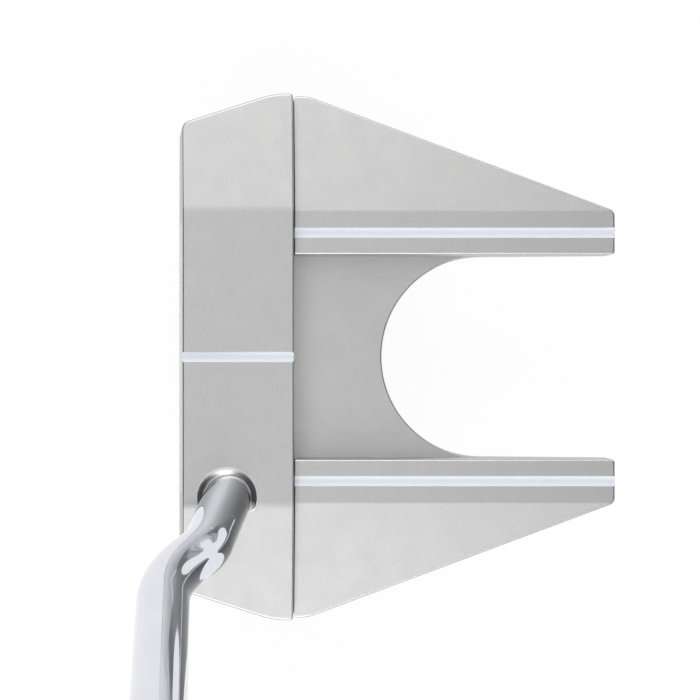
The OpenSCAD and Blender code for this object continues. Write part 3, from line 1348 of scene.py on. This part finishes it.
    def cutout(self, skin: Skin) -> list[int]:
        """Makes the wall and the rounded rim of the cut-out.

        Args:
            skin: The skin to work on.

        Returns:
            The upper row of the rim, from heel to toe.
        """
        arc = self.arc()
        rows = [skin.add((x, y, self.under(x, y)) for _, x, y in arc)]
        for inset, drop in rounded(1.0, self.panel_steps):
            row = []
            for a, x, y in arc:
                ledge = self.inner * (1 - abs(math.sin(a)))
                rim = min(self.panel_rim, self.ledge_share * ledge)
                out = rim * inset
                row.append((x - out * math.cos(a), y + out * math.sin(a), self.panel - rim * drop))
            rows.append(skin.add(row))
        skin.loft(rows, closed=False)
        return rows[-1]

    def underside(self, skin: Skin, toe: Sequence[Vector]) -> None:
        """Closes the frame from below.

        Args:
            skin: The skin to work on.
            toe: Plan of the toe fang.
        """
        plan = [(p.x, p.y) for p in toe if not self.beside_panel(p.x, p.y)] + [(self.front, self.inner)]
        loop = plan + [(x, -y) for x, y in reversed(plan)] + [(x, y) for _, x, y in self.arc()]
        clean = [here for here, before in zip(loop, [loop[-1], *loop]) if math.dist(here, before) > NEAR]
        ring = skin.add((x, y, self.under(x, y)) for x, y in clean)
        fold_x, fold_y = self.fold_end()
        lines = [(skin.nearest(ring, (self.front, side * self.sole.flat)),
                  skin.nearest(ring, (fold_x, side * fold_y))) for side in (1, -1)]
        skin.fill(ring, lines)

    def build(self) -> Piece:
        """Makes the frame's solid.

        Returns:
            The new piece.
        """
        skin = Skin()
        toe = [skin.points[i] for i in self.fang(skin, 1.0)]
        self.fang(skin, -1.0)
        lip = self.cutout(skin)
        foot = self.under(self.front, self.inner)
        top, low = (skin.add((self.front, side * self.inner, z) for side in (1, -1))
                    for z in (self.panel, foot))
        skin.fill([*lip, *top])
        self.underside(skin, toe)
        skin.lid([top[0], top[1], low[1], low[0]])
        return skin.piece("rear_frame_shell")


@dataclass
class Shaft:
    """Chromed steel tube with a double bend and a stepped upper length.

    Beside each change of direction lies a support ring, and each step has a soft start and end.
    """

    socket: Triple = (-2.05, -27.65, 25.0)
    lie: float = 70.0
    putter_length: float = 864.0
    cap: float = 5.0
    tip_radius: float = 4.7
    tip_chamfer: float = 0.25
    butt_radius: float = 7.35
    wall: float = 0.55
    depth: float = 17.0
    tip_rise: float = 19.4
    tip_lean: float = 10.6
    lower_turn: float = 19.8
    lower_radius: float = 19.5
    lower_steps: int = 24
    straight: float = 2.0
    upper_radius: float = 34.2
    upper_steps: int = 32
    support: float = 0.6
    tip_support: float = 1.5
    steps: int = 9
    step_length: float = 38.0
    first_step: float = 150.0
    step_blend: float = 1.2
    step_support: float = 0.15
    step_soft: Pair = (0.1, 0.01)
    sides: int = 72
    crease: float = 50.0
    finish: PolishedChrome = PolishedChrome()

    @staticmethod
    def heading(a: float) -> Vector:
        """Gives the direction at an angle forward of the lie: out, then up."""
        return Vector((math.sin(a), math.cos(a)))

    @staticmethod
    def across(a: float) -> Vector:
        """Gives the direction square to a heading: out, then up."""
        return Vector((math.cos(a), -math.sin(a)))

    def lie_frame(self) -> Matrix:
        """Gives the plane of the bends: x back, z along the lie."""
        return Matrix.Translation(self.socket) @ Matrix.Rotation(math.radians(90 - self.lie), 4, "X")

    def tip_frame(self) -> Matrix:
        """Gives the axis of the tip, with zero at the crown."""
        return self.lie_frame() @ Matrix.Rotation(math.radians(-self.tip_lean), 4, "Y")

    def main_foot(self) -> Vector:
        """Gives the end of the upper bend: out, then up."""
        return self.bends()[-1][0]

    def bends(self) -> list[tuple[Vector, float]]:
        """Gives the path through both bends.

        Returns:
            Points with the angle of the path at each.
        """
        lean = math.radians(self.tip_lean)
        turned = lean + math.radians(self.lower_turn)
        top = self.tip_rise * self.heading(lean)
        lower = top + self.lower_radius * self.across(lean)
        path = []
        for k in range(self.lower_steps + 1):
            a = lean + (turned - lean) * k / self.lower_steps
            path.append((lower - self.lower_radius * self.across(a), a))
        foot = path[-1][0] + self.straight * self.heading(turned)
        upper = foot - self.upper_radius * self.across(turned)
        for k in range(self.upper_steps + 1):
            a = turned * (1 - k / self.upper_steps)
            path.append((upper + self.upper_radius * self.across(a), a))
        return path

    def main_length(self) -> float:
        """Gives the length from the upper bend to the butt."""
        rise = math.sin(math.radians(self.lie))
        return self.putter_length - self.cap - (self.socket[2] + self.main_foot().y * rise) / rise

    def upper_rings(self) -> list[Pair]:
        """Gives the rings of the stepped length.

        Returns:
            Height above the upper bend and radius of each ring.
        """
        rise = (self.butt_radius - self.tip_radius) / self.steps
        ahead, up = self.step_soft
        rings = [(self.support, self.tip_radius)]
        for i in range(self.steps):
            start, low = self.first_step + i * self.step_length, self.tip_radius + i * rise
            end, high = start + self.step_blend, low + rise
            rings += [(start - self.step_support, low), (start + ahead, low + up),
                      (end - ahead, high - up), (end + self.step_support, high)]
        return [*rings, (self.main_length(), self.butt_radius)]

    def stations(self) -> list[tuple[Vector, float, float]]:
        """Gives the whole path with the tube's radius.

        Returns:
            Points in out and up, the angle and the radius at each.
        """
        lean, foot = math.radians(self.tip_lean), self.main_foot()
        ups = [-self.depth + s for s in (0.0, self.tip_chamfer, self.support, self.tip_support)]
        ups += [0.0, self.tip_rise - self.support]
        rows = [(self.heading(lean) * s, lean, self.tip_radius) for s in ups]
        rows[0] = (*rows[0][:2], self.tip_radius - self.tip_chamfer)
        rows += [(p, a, self.tip_radius) for p, a in self.bends()]
        return rows + [(foot + Vector((0.0, up)), 0.0, r) for up, r in self.upper_rings()]

    def build(self) -> None:
        """Makes, dresses and places the tube."""
        skin = Skin()
        at = self.lie_frame()
        outer, inner = [], []
        for p, a, r in self.stations():
            for rows, radius in ((outer, r), (inner, r - self.wall)):
                row = []
                for b in round_angles(self.sides):
                    q = p + self.across(a) * radius * math.cos(b)
                    row.append(at @ Vector((-q.x, radius * math.sin(b), q.y)))
                rows.append(skin.add(row))
        for rows in (outer, inner):
            skin.loft(rows)
        skin.bridge(outer[0], inner[0])
        skin.bridge(outer[-1], inner[-1])
        piece = skin.piece("shaft_tube")
        piece.data.shade_smooth()
        piece.data.set_sharp_from_angle(angle=math.radians(self.crease))
        place(dress(piece, self.finish), Body.PUTTER, "shaft")


@dataclass
class Head:
    """Head of the putter: bar and frame, with the pockets and holes that hold the other pieces.

    Holes are radius and height of each ring, from below. Over is how far a cut reaches out of the metal.
    """

    shaft: Shaft
    bar: FrontBar = field(default_factory=FrontBar)
    rear: RearFrame = field(default_factory=RearFrame)
    over: float = 1.0
    insert_mid: float = 13.5
    insert_half: Pair = (27.5, 7.5)
    insert_slant: float = 1.6
    insert_corner: float = 3.5
    insert_steps: int = 8
    pocket: float = 3.7
    socket_radius: float = 4.74
    socket_over: float = 4.0
    tongue_reach: float = 8.4
    tongue_half: float = 32.0
    tongue_height: float = 6.0
    tongue_root: float = 0.6
    tongue_clear: float = 0.1
    screw_x: float = 6.4
    screw_ys: tuple[float, ...] = (-28.0, -8.0, 8.0, 28.0)
    screw_head: float = 4.0
    screw_sunk: float = 0.4
    screw_hole: tuple[Pair, ...] = ((2.1, 2.0), (2.1, 15.9))
    screw_sides: int = 32
    sink_hole: tuple[Pair, ...] = ((4.1, -4.0), (4.1, 0.0), (2.1, 2.0), (2.1, 9.0))
    sink_sides: int = 48
    weight_x: float = -2.5
    weight_y: float = 39.0
    weight_head: float = 6.0
    weight_sunk: float = 0.3
    weight_hole: tuple[Pair, ...] = ((6.15, -8.0), (6.15, 3.65), (4.15, 3.65), (4.15, 9.65))
    edge_finish: SatinMetal = SatinMetal("burnished_metal", rough=(0.2, 0.24))

    def insert_loop(self) -> list[Pair]:
        """Gives the outline of the insert's pocket in the plane of the face.

        Returns:
            Its points.
        """
        wide, h = self.insert_half
        low = wide - self.insert_slant
        spots = ((-low, -h), (low, -h), (wide, h), (-wide, h))
        loop = Outline(tuple(Corner(x, y, self.insert_corner, self.insert_steps) for x, y in spots))
        return loop.ring(0.0)

    def on_face(self) -> Matrix:
        """Gives the plane of the face: x to the toe, y up the face, z into the bar.

        Returns:
            The plane, with zero in the insert's middle.
        """
        bar = self.bar
        foot = bar.front - bar.crown.top * bar.lean
        axes = Matrix(((0, 0, 1, 0), (1, 0, 0, 0), (0, 1, 0, 0), (0, 0, 0, 1)))
        return (Matrix.Translation((foot + self.insert_mid * bar.lean, 0, self.insert_mid))
                @ Matrix.Rotation(math.atan(bar.lean), 4, "Y") @ axes)

    def tongue_box(self, name: str, clear: float = 0.0) -> Piece:
        """Makes the tongue under the bar, or the space for it, which is open below.

        Args:
            name: The solid's name.
            clear: Clearance round the tongue, for the space.

        Returns:
            The solid.
        """
        start = self.rear.back - self.tongue_reach - clear
        end = self.rear.back + self.tongue_root
        half, flat = self.tongue_half + clear, self.bar.sole.flat
        side = [(y, -self.over if clear else self.bar.sole.height(y)) for y in (-half, -flat, flat, half)]
        skin = Skin()
        low = skin.add([(start, y, z) for y, z in side] + [(end, y, z) for y, z in reversed(side)])
        top = skin.add((skin.points[i].x, skin.points[i].y, self.tongue_height + clear) for i in low)
        skin.bridge(low, top)
        skin.lid(top)
        for k in range(len(side) - 1):
            skin.lid([low[k], low[k + 1], low[-k - 2], low[-k - 1]])
        return skin.piece(name)

    def weight_at(self, side: float) -> Triple:
        """Gives the middle of a weight's lower end.

        Args:
            side: 1 for the toe, -1 for the heel.

        Returns:
            Its x, y and z.
        """
        foot = self.bar.sole.height(self.weight_y + self.weight_head) + self.weight_sunk
        return self.weight_x, side * self.weight_y, foot

    def screw_foot(self, y: float) -> float:
        """Gives the height of a frame screw's head."""
        return self.bar.sole.height(abs(y) + self.screw_head) + self.screw_sunk

    def build_bar(self) -> Piece:
        """Makes the bar with its pockets.

        Returns:
            The bar.
        """
        bar = self.bar.build()
        socket = [(self.socket_radius, z) for z in (-self.shaft.depth, self.socket_over)]
        tools = [
            rod("cut_socket", self.shaft.tip_frame(), socket),
            slab("cut_pocket", self.on_face(), self.insert_loop(), -self.over, self.pocket),
            self.tongue_box("cut_tongue", self.tongue_clear),
        ]
        for y in self.screw_ys:
            at = Matrix.Translation((self.screw_x, y, 0))
            tools.append(rod("cut_screw", at, self.screw_hole, self.screw_sides))
        for side in (-1, 1):
            tools.append(rod("cut_weight", Matrix.Translation(self.weight_at(side)), self.weight_hole))
        return smooth(carve(bar, [(Cut.AWAY, tool) for tool in tools]))

    def build_rear(self) -> Piece:
        """Makes the frame with its tongue and screw holes.

        Returns:
            The frame.
        """
        tools = [(Cut.ON, self.tongue_box("tongue"))]
        for y in self.screw_ys:
            at = Matrix.Translation((self.screw_x, y, self.screw_foot(y)))
            tools.append((Cut.AWAY, rod("cut_sink", at, self.sink_hole, self.sink_sides)))
        return smooth(carve(self.rear.build(), tools))

    def build(self) -> None:
        """Makes, dresses and places the head's two metal pieces."""
        bar = dress(self.build_bar(), self.bar.finish)
        place(burnish(bar, self.edge_finish, self.bar.is_bright), Body.PUTTER, "front_bar")
        rear = dress(self.build_rear(), self.rear.finish)
        place(burnish(rear, self.edge_finish, self.rear.is_bright), Body.PUTTER, "rear_frame")


@dataclass(frozen=True)
class Change:
    """A smooth change of a size along the grip, where its mouth is 0 and its end 1."""

    by: float
    start: float
    end: float

    def at(self, t: float) -> float:
        """Gives how much of the change there is at a station."""
        return self.by * ease(t, self.start, self.end)


@dataclass
class Grip:
    """Rubber grip with a flat front, a swelling back, moulded ribs and a domed end cap.

    A band runs round each end, and a border line along each side of the ribbed front, at an angle in
    degrees: both are given by depth and half width. Ribbed is where the ribs come up, as a sine. The cap's
    rings are the share of the way from the vent to the rim, and how far each lies below the dome.
    """

    shaft: Shaft
    length: float = 266.0
    width: float = 26.0
    mouth_wall: float = 2.2
    tape: float = 0.2
    widening: Change = Change(1.0, 0.0, 0.75)
    flatness: Change = Change(0.62, 0.02, 0.3)
    front_dip: Change = Change(-0.4, 0.0, 0.2)
    front_rise: Change = Change(0.6, 0.2, 0.9)
    back_swell: Change = Change(7.0, 0.55, 0.92)
    back_fill: Change = Change(2.0, 0.1, 0.6)
    front_edge: float = 3.0
    relief_in: Change = Change(1.0, 0.05, 0.08)
    relief_out: Change = Change(1.0, 0.92, 0.95)
    band_from_end: float = 7.0
    band: Pair = (0.55, 1.1)
    border_angles: Pair = (22.0, 158.0)
    border: Pair = (0.45, 5.0)
    rib_depth: float = 0.38
    rib_pitch: float = 5.0
    ribbed: Pair = (0.45, 0.6)
    rings: int = 266
    sides: int = 96
    crease: float = 45.0
    cap_dome: float = 40.0
    cap_rim: float = 0.9
    cap_rim_steps: int = 4
    cap_rings: tuple[Pair, ...] = ((0.7, 0.0), (0.5, 0.0), (0.44, 0.0), (0.42, 0.3), (0.38, 0.3), (0.36, 0.0),
                                   (0.2, 0.0), (0.04, 0.0), (0.0, 0.12))
    cap_crease: float = 40.0
    vent: float = 1.6
    finish: MouldedRubber = MouldedRubber()

    def bore(self) -> float:
        """Gives the radius over the tape."""
        return self.shaft.butt_radius + self.tape

    def axis(self) -> Matrix:
        """Gives the grip's own axis, with zero at its mouth.

        Returns:
            The axis along z.
        """
        foot = self.shaft.main_foot()
        start = self.shaft.main_length() - self.length
        return self.shaft.lie_frame() @ Matrix.Translation((-foot.x, 0.0, foot.y + start))

    def section(self, t: float, a: float) -> Vector:
        """Gives a point of the section: a flat front and a round back.

        Args:
            t: Station from mouth to end, 0 to 1.
            a: Angle from the right side.

        Returns:
            The point across the grip.
        """
        base = self.bore() + self.mouth_wall
        w = base + (self.width / 2 - base) * self.widening.at(t)
        c, s = math.cos(a), math.sin(a)
        if s < 0:
            return Vector((w * c, (base + self.back_swell.at(t) + self.back_fill.at(t)) * s))
        flat = self.flatness.at(t)
        front = base + self.front_dip.at(t) + self.front_rise.at(t)
        return Vector((w * c, min(w * s, w * s * (1 - flat) + front * flat * min(1.0, self.front_edge * s))))

    def relief(self, t: float, a: float) -> float:
        """Gives the depth of the moulded ribs, bands and border lines.

        Args:
            t: Station from mouth to end.
            a: Angle from the right side.

        Returns:
            The depth.
        """
        along = t * self.length
        held = self.relief_in.at(t) * (1 - self.relief_out.at(t))
        deep, half = self.band
        depths = [deep * (1 - ((along - line) / half) ** 2)
                  for line in (self.band_from_end, self.length - self.band_from_end)]
        deep, half = self.border
        depths += [deep * held * (1 - abs(math.degrees(a) - edge) / half) for edge in self.border_angles]
        wave = (0.5 - 0.5 * math.cos(math.tau * along / self.rib_pitch)) ** 2
        depths.append(self.rib_depth * held * ease(math.sin(a), *self.ribbed) * wave)
        return max(0.0, *depths)

    def build(self) -> None:
        """Makes, dresses and places the grip and its cap."""
        skin = Skin()
        at, bore = self.axis(), self.bore()
        angles = round_angles(self.sides)
        rows = []
        for i in range(self.rings + 1):
            t = i / self.rings
            row = []
            for a in angles:
                p = self.section(t, a)
                p = p * (1 - self.relief(t, a) / p.length)
                row.append(at @ Vector((p.x, p.y, t * self.length)))
            rows.append(skin.add(row))
        skin.loft(rows)
        mouth, end = (skin.add(at @ Vector((bore * math.cos(a), bore * math.sin(a), z)) for a in angles)
                      for z in (0.0, self.length))
        skin.bridge(mouth, end)
        skin.bridge(rows[0], mouth)
        skin.bridge(rows[-1], end)
        sleeve = smooth(skin.piece("grip_sleeve"), self.crease)
        place(dress(sleeve, self.finish), Body.PUTTER, "grip")
        place(dress(self.build_cap(), self.finish), Body.PUTTER, "grip_cap")

    def dome(self, p: Vector) -> float:
        """Gives the height of the cap's dome over a point of the section.

        Args:
            p: The point.

        Returns:
            The height above the grip's mouth.
        """
        middle = Vector((0.0, -self.back_swell.by / 2))
        sunk = self.cap_dome - math.sqrt(self.cap_dome ** 2 - (p - middle).length_squared)
        return self.length + self.shaft.cap - sunk

    def build_cap(self) -> Piece:
        """Makes the domed cap with its vent.

        Returns:
            The cap.
        """
        skin = Skin()
        at = self.axis()
        angles = round_angles(self.sides)
        rim = [self.section(1.0, a) for a in angles]
        vent = [Vector((math.cos(a), math.sin(a))) * self.vent for a in angles]
        edge = [p * (1 - self.cap_rim / p.length) for p in rim]
        loops = [([p * (1 - inset / p.length) for p in rim], drop)
                 for inset, drop in rounded(self.cap_rim, self.cap_rim_steps)]
        loops += [([v.lerp(p, share) for v, p in zip(vent, edge)], drop) for share, drop in self.cap_rings]
        foot, hole = (skin.add(at @ Vector((*p, self.length)) for p in loop) for loop in (rim, vent))
        rows = [skin.add(at @ Vector((*p, self.dome(p) - drop)) for p in loop) for loop, drop in loops]
        skin.loft([foot, *rows, hole, foot])
        return smooth(skin.piece("grip_end_cap"), self.cap_crease)


@dataclass
class SoleWeight:
    """Threaded sole weight with a key socket.

    The rings of its face are the distance in from its edge and the height: a groove, then the edge. The
    thread runs in from one height to another above the head, and runs out over two distances to the end.
    """

    name: str
    body: Body
    at: Triple
    head_radius: float = 6.0
    head: float = 3.5
    stem_radius: float = 4.0
    stem: float = 6.0
    stem_chamfer: float = 0.3
    key: float = 5.0
    key_depth: float = 3.0
    key_edge: float = 0.25
    face: tuple[Pair, ...] = ((1.3, 0.0), (1.2, 0.12), (1.0, 0.12), (0.9, 0.0), (0.35, 0.0), (0.1, 0.1),
                              (0.0, 0.35))
    back_edge: float = 0.2
    pitch: float = 1.0
    thread: float = 0.42
    thread_half: float = 0.42
    thread_in: Pair = (0.2, 0.8)
    thread_out: Pair = (1.2, 0.4)
    rings_per_turn: int = 8
    sides: int = 60
    crease: float = 35.0

    def key_reach(self, a: float) -> float:
        """Gives the reach of the six-sided key socket at an angle."""
        return self.key / 2 / math.cos((a + math.pi / 6) % (math.pi / 3) - math.pi / 6)

    def thread_reach(self, a: float, z: float) -> float:
        """Gives the reach of the thread.

        Args:
            a: Angle round the weight.
            z: Height above its head.

        Returns:
            The radius.
        """
        phase = (z / self.pitch - a / math.tau) % 1.0
        held = ease(z, *self.thread_in) * (1 - ease(z, *(self.stem - end for end in self.thread_out)))
        return self.stem_radius - self.thread * (1 - held * max(0.0, 1 - abs(phase - 0.5) / self.thread_half))

    def profile(self) -> list[tuple[Callable[[float], float], float]]:
        """Gives the rings of the weight, from the key socket's floor round to the stem's end.

        Returns:
            The radius at an angle, and the height of each ring.
        """
        root, start = self.stem_radius - self.thread, self.thread_in[0]
        run = self.stem - start - self.thread_out[1]
        turns = int(run / self.pitch * self.rings_per_turn)
        plain = [(self.head_radius - inset, z) for inset, z in self.face]
        edge = self.head_radius - self.back_edge
        plain += [(self.head_radius, self.head - self.back_edge), (edge, self.head), (root, self.head)]
        rings = [(self.key_reach, self.key_depth), (self.key_reach, self.key_edge),
                 (lambda a: self.key_reach(a) + self.key_edge, 0.0)]
        rings += [(lambda a, r=r: r, z) for r, z in plain]
        for z in (start + run * k / turns for k in range(turns + 1)):
            rings.append((lambda a, z=z: self.thread_reach(a, z), self.head + z))
        rings.append((lambda a: root - self.stem_chamfer, self.head + self.stem))
        return rings

    def build(self) -> None:
        """Makes, dresses and places the weight."""
        skin = Skin()
        middle = Vector(self.at)
        rows = []
        for reach, z in self.profile():
            ring = [(reach(a), a) for a in round_angles(self.sides)]
            rows.append(skin.add(middle + Vector((r * math.cos(a), r * math.sin(a), z)) for r, a in ring))
        skin.loft(rows)
        skin.lid(rows[0])
        skin.lid(rows[-1])
        piece = smooth(skin.piece(self.name + "_turned"), self.crease)
        finish = TurnedSteel(self.name + "_steel", axis=self.at[:2])
        place(dress(piece, finish), self.body, self.name)


@dataclass
class KeptSolids:
    """Solids whose shape stays as it is and which get a finish only."""

    finishes: dict[str, Finish] = field(default_factory=lambda: {
        "face_insert": SoftUrethane(),
        "front_sight_line": LinePaint(),
        "toe_fang_line": LinePaint(),
        "heel_fang_line": LinePaint(),
        "insert_film": CuredBond("insert_bond", (0.55, 0.5, 0.36), (0.66, 0.6, 0.44)),
        "shaft_bond": CuredBond(),
        "tip_plug": MouldedPlastic(),
        "grip_tape": CrepeTape(),
        "frame_screws": TurnedSteel("screw_steel", axis=(6.4, 8.0)),
    })

    def build(self) -> None:
        """Dresses each solid."""
        for name, finish in self.finishes.items():
            dress(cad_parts[name], finish)
            log.info("%s: finish %s", name, finish.name)


def grid_faces(rows: int, across: int, closed: bool = False) -> list[tuple[int, ...]]:
    """Gives the quads of a grid whose points are numbered row by row.

    Args:
        rows: Number of rows.
        across: Number of points in a row.
        closed: Whether each row is a ring.

    Returns:
        The quads.
    """
    quads = []
    for first in range(0, (rows - 1) * across, across):
        for k in range(across if closed else across - 1):
            n = (k + 1) % across
            quads.append((first + k, first + n, first + across + n, first + across + k))
    return quads


@dataclass(frozen=True)
class Screen:
    """A lit or dark screen of the studio, on a sphere round the head.

    It spans angles from straight up, in degrees, and its radius is in metres.
    """

    name: str
    toward_toe: Pair
    toward_back: Pair
    level: float
    radius: float
    grid: int = 16

    def points(self) -> list[Triple]:
        """Gives the screen's points row by row.

        Returns:
            Their places in metres.
        """
        us, vs = ([math.radians(low + (high - low) * k / self.grid) for k in range(self.grid + 1)]
                  for low, high in (self.toward_toe, self.toward_back))
        ways = [Vector((math.tan(v), math.tan(u), 1.0)).normalized() for u in us for v in vs]
        return [tuple(way * self.radius) for way in ways]


@dataclass
class Studio:
    """White floor and room, with a grey tent, dark flags and lit screens that the camera doesn't see.

    The floor lies floor_drop under the sole, just below the weights when they are drawn out. Its half width
    and the tent's radius are in metres, and the tent's foot and top are angles above the floor in degrees.
    """

    floor_half: float = 6.0
    floor_drop: float = 11.0
    glow: float = 0.86
    shine: float = 1.05
    paper: float = 0.9
    room: float = 1.0
    tent: float = 0.5
    tent_radius: float = 5.8
    tent_foot: float = 12.0
    tent_top: float = 89.5
    tent_rows: int = 12
    tent_sides: int = 48
    screens: tuple[Screen, ...] = (
        Screen("screen_over", (-28.0, 28.0), (-20.0, 14.0), 1.38, 5.0),
        Screen("screen_toe", (28.0, 62.0), (-20.0, 13.0), 2.46, 5.0),
        Screen("screen_heel", (-62.0, -28.0), (-20.0, 13.0), 2.98, 5.0),
        Screen("low_toe", (62.0, 86.0), (-50.0, 65.0), 2.2, 5.1),
        Screen("low_heel", (-86.0, -62.0), (-50.0, 65.0), 2.2, 5.1),
        Screen("flag_before", (-35.0, 35.0), (-72.0, -26.0), 0.08, 5.2),
        Screen("flag_behind", (-35.0, 35.0), (17.0, 84.0), 0.08, 5.2),
    )

    def panel(self, name: str, points: Sequence[Triple], faces: Sequence[tuple[int, ...]]) -> Piece:
        """Makes a surface that isn't part of the putter.

        Args:
            name: The surface's name.
            points: Its points in metres.
            faces: Its faces.

        Returns:
            The surface.
        """
        mesh = bpy.data.meshes.new(name)
        mesh.from_pydata(points, [], faces)
        made = stand(name, mesh)
        made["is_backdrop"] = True
        return made

    def build_floor(self) -> None:
        """Lays the floor: white to the camera and in reflections, with the shadow kept."""
        h, z = self.floor_half, -self.floor_drop * MM
        floor = self.panel("floor", [(-h, -h, z), (h, -h, z), (h, h, z), (-h, h, z)], [(0, 1, 2, 3)])
        material = bare_material("floor_paper")
        nodes, link = material.node_tree.nodes, material.node_tree.links.new
        paper = nodes.new("ShaderNodeBsdfDiffuse")
        paper.inputs["Color"].default_value = (self.paper, self.paper, self.paper, 1.0)
        light = nodes.new("ShaderNodeEmission")
        light.inputs["Strength"].default_value = self.shine
        path = nodes.new("ShaderNodeLightPath")
        seen = path.outputs["Is Camera Ray"]
        for ray in ("Is Glossy Ray", "Is Transmission Ray"):
            either = nodes.new("ShaderNodeMath")
            either.operation = "MAXIMUM"
            link(seen, either.inputs[0])
            link(path.outputs[ray], either.inputs[1])
            seen = either.outputs[0]
        share = nodes.new("ShaderNodeMath")
        share.operation = "MULTIPLY"
        share.inputs[1].default_value = self.glow
        link(seen, share.inputs[0])
        mix = nodes.new("ShaderNodeMixShader")
        link(share.outputs[0], mix.inputs["Fac"])
        link(paper.outputs[0], mix.inputs[1])
        link(light.outputs[0], mix.inputs[2])
        link(mix.outputs[0], nodes.new("ShaderNodeOutputMaterial").inputs["Surface"])
        floor.data.materials.append(material)

    def hang(self, card: Piece, level: float) -> None:
        """Lights a surface evenly and hides it from the camera.

        Args:
            card: The surface.
            level: Its brightness, from 0 for a black flag.
        """
        material = bare_material(card.name)
        tree = material.node_tree
        light = tree.nodes.new("ShaderNodeEmission")
        light.inputs["Strength"].default_value = level
        tree.links.new(light.outputs[0], tree.nodes.new("ShaderNodeOutputMaterial").inputs["Surface"])
        card.data.materials.append(material)
        card.visible_camera = False

    def build_tent(self) -> None:
        """Hangs the grey tent, open along its foot."""
        points = []
        for i in range(self.tent_rows + 1):
            up = math.radians(self.tent_foot + (self.tent_top - self.tent_foot) * i / self.tent_rows)
            out, z = self.tent_radius * math.cos(up), self.tent_radius * math.sin(up)
            points += [(out * math.cos(a), out * math.sin(a), z) for a in round_angles(self.tent_sides)]
        faces = grid_faces(self.tent_rows + 1, self.tent_sides, closed=True)
        self.hang(self.panel("tent", points, faces), self.tent)

    def build(self) -> None:
        """Sets up the floor, the room, the tent and the screens."""
        self.build_floor()
        world = bpy.data.worlds.new("room")
        world.use_nodes = True
        room = world.node_tree.nodes["Background"]
        room.inputs["Color"].default_value = (1.0, 1.0, 1.0, 1.0)
        room.inputs["Strength"].default_value = self.room
        bpy.context.scene.world = world
        self.build_tent()
        for screen in self.screens:
            faces = grid_faces(screen.grid + 1, screen.grid + 1)
            self.hang(self.panel(screen.name, screen.points(), faces), screen.level)
        log.info("floor, room, tent and %d screens are up", len(self.screens))


@dataclass
class PhotoCamera:
    """Camera straight above the head, off to one side of the frame as the picture was cut.

    Focal length, axis and frame size are in pixels of the picture, and the clip distances in metres.
    """

    at: Triple = (-5.79, 1.36, 450.0)
    focal: float = 2191.7
    axis: float = 208.0
    frame_size: float = 700.0
    sensor: float = 36.0
    clip: Pair = (0.01, 50.0)

    def build(self) -> None:
        """Sets up the camera."""
        lens = bpy.data.cameras.new("photo_camera")
        lens.sensor_width = self.sensor
        lens.lens = self.focal / self.frame_size * self.sensor
        lens.shift_x = (self.frame_size / 2 - self.axis) / self.frame_size
        lens.clip_start, lens.clip_end = self.clip
        camera = bpy.data.objects.new("photo_camera", lens)
        camera.location = Vector(self.at) * MM
        bpy.context.scene.collection.objects.link(camera)
        bpy.context.scene.camera = camera
        log.info("camera stands %.0f mm above the sole", self.at[2])


def corners(box: tuple[Vector, Vector]) -> list[list[float]]:
    """Gives a box's two corners as plain lists."""
    return [[float(v) for v in corner] for corner in box]


def main() -> None:
    """Builds the putter, the studio and the camera."""
    logging.basicConfig(level=logging.INFO, format="%(name)s: %(message)s")
    bpy.context.scene.view_settings.view_transform = "Standard"
    cad_box = corners(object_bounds())
    PhotoCamera().build()
    Studio().build()
    shaft = Shaft()
    head = Head(shaft)
    head.build()
    KeptSolids().build()
    for name, body, side in (("toe_weight", Body.TOE_WEIGHT, 1.0), ("heel_weight", Body.HEEL_WEIGHT, -1.0)):
        SoleWeight(name, body, head.weight_at(side)).build()
    shaft.build()
    Grip(shaft).build()
    {"cad": cad_box, "visual": corners(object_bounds())}


if __name__ == "__main__":
    main()
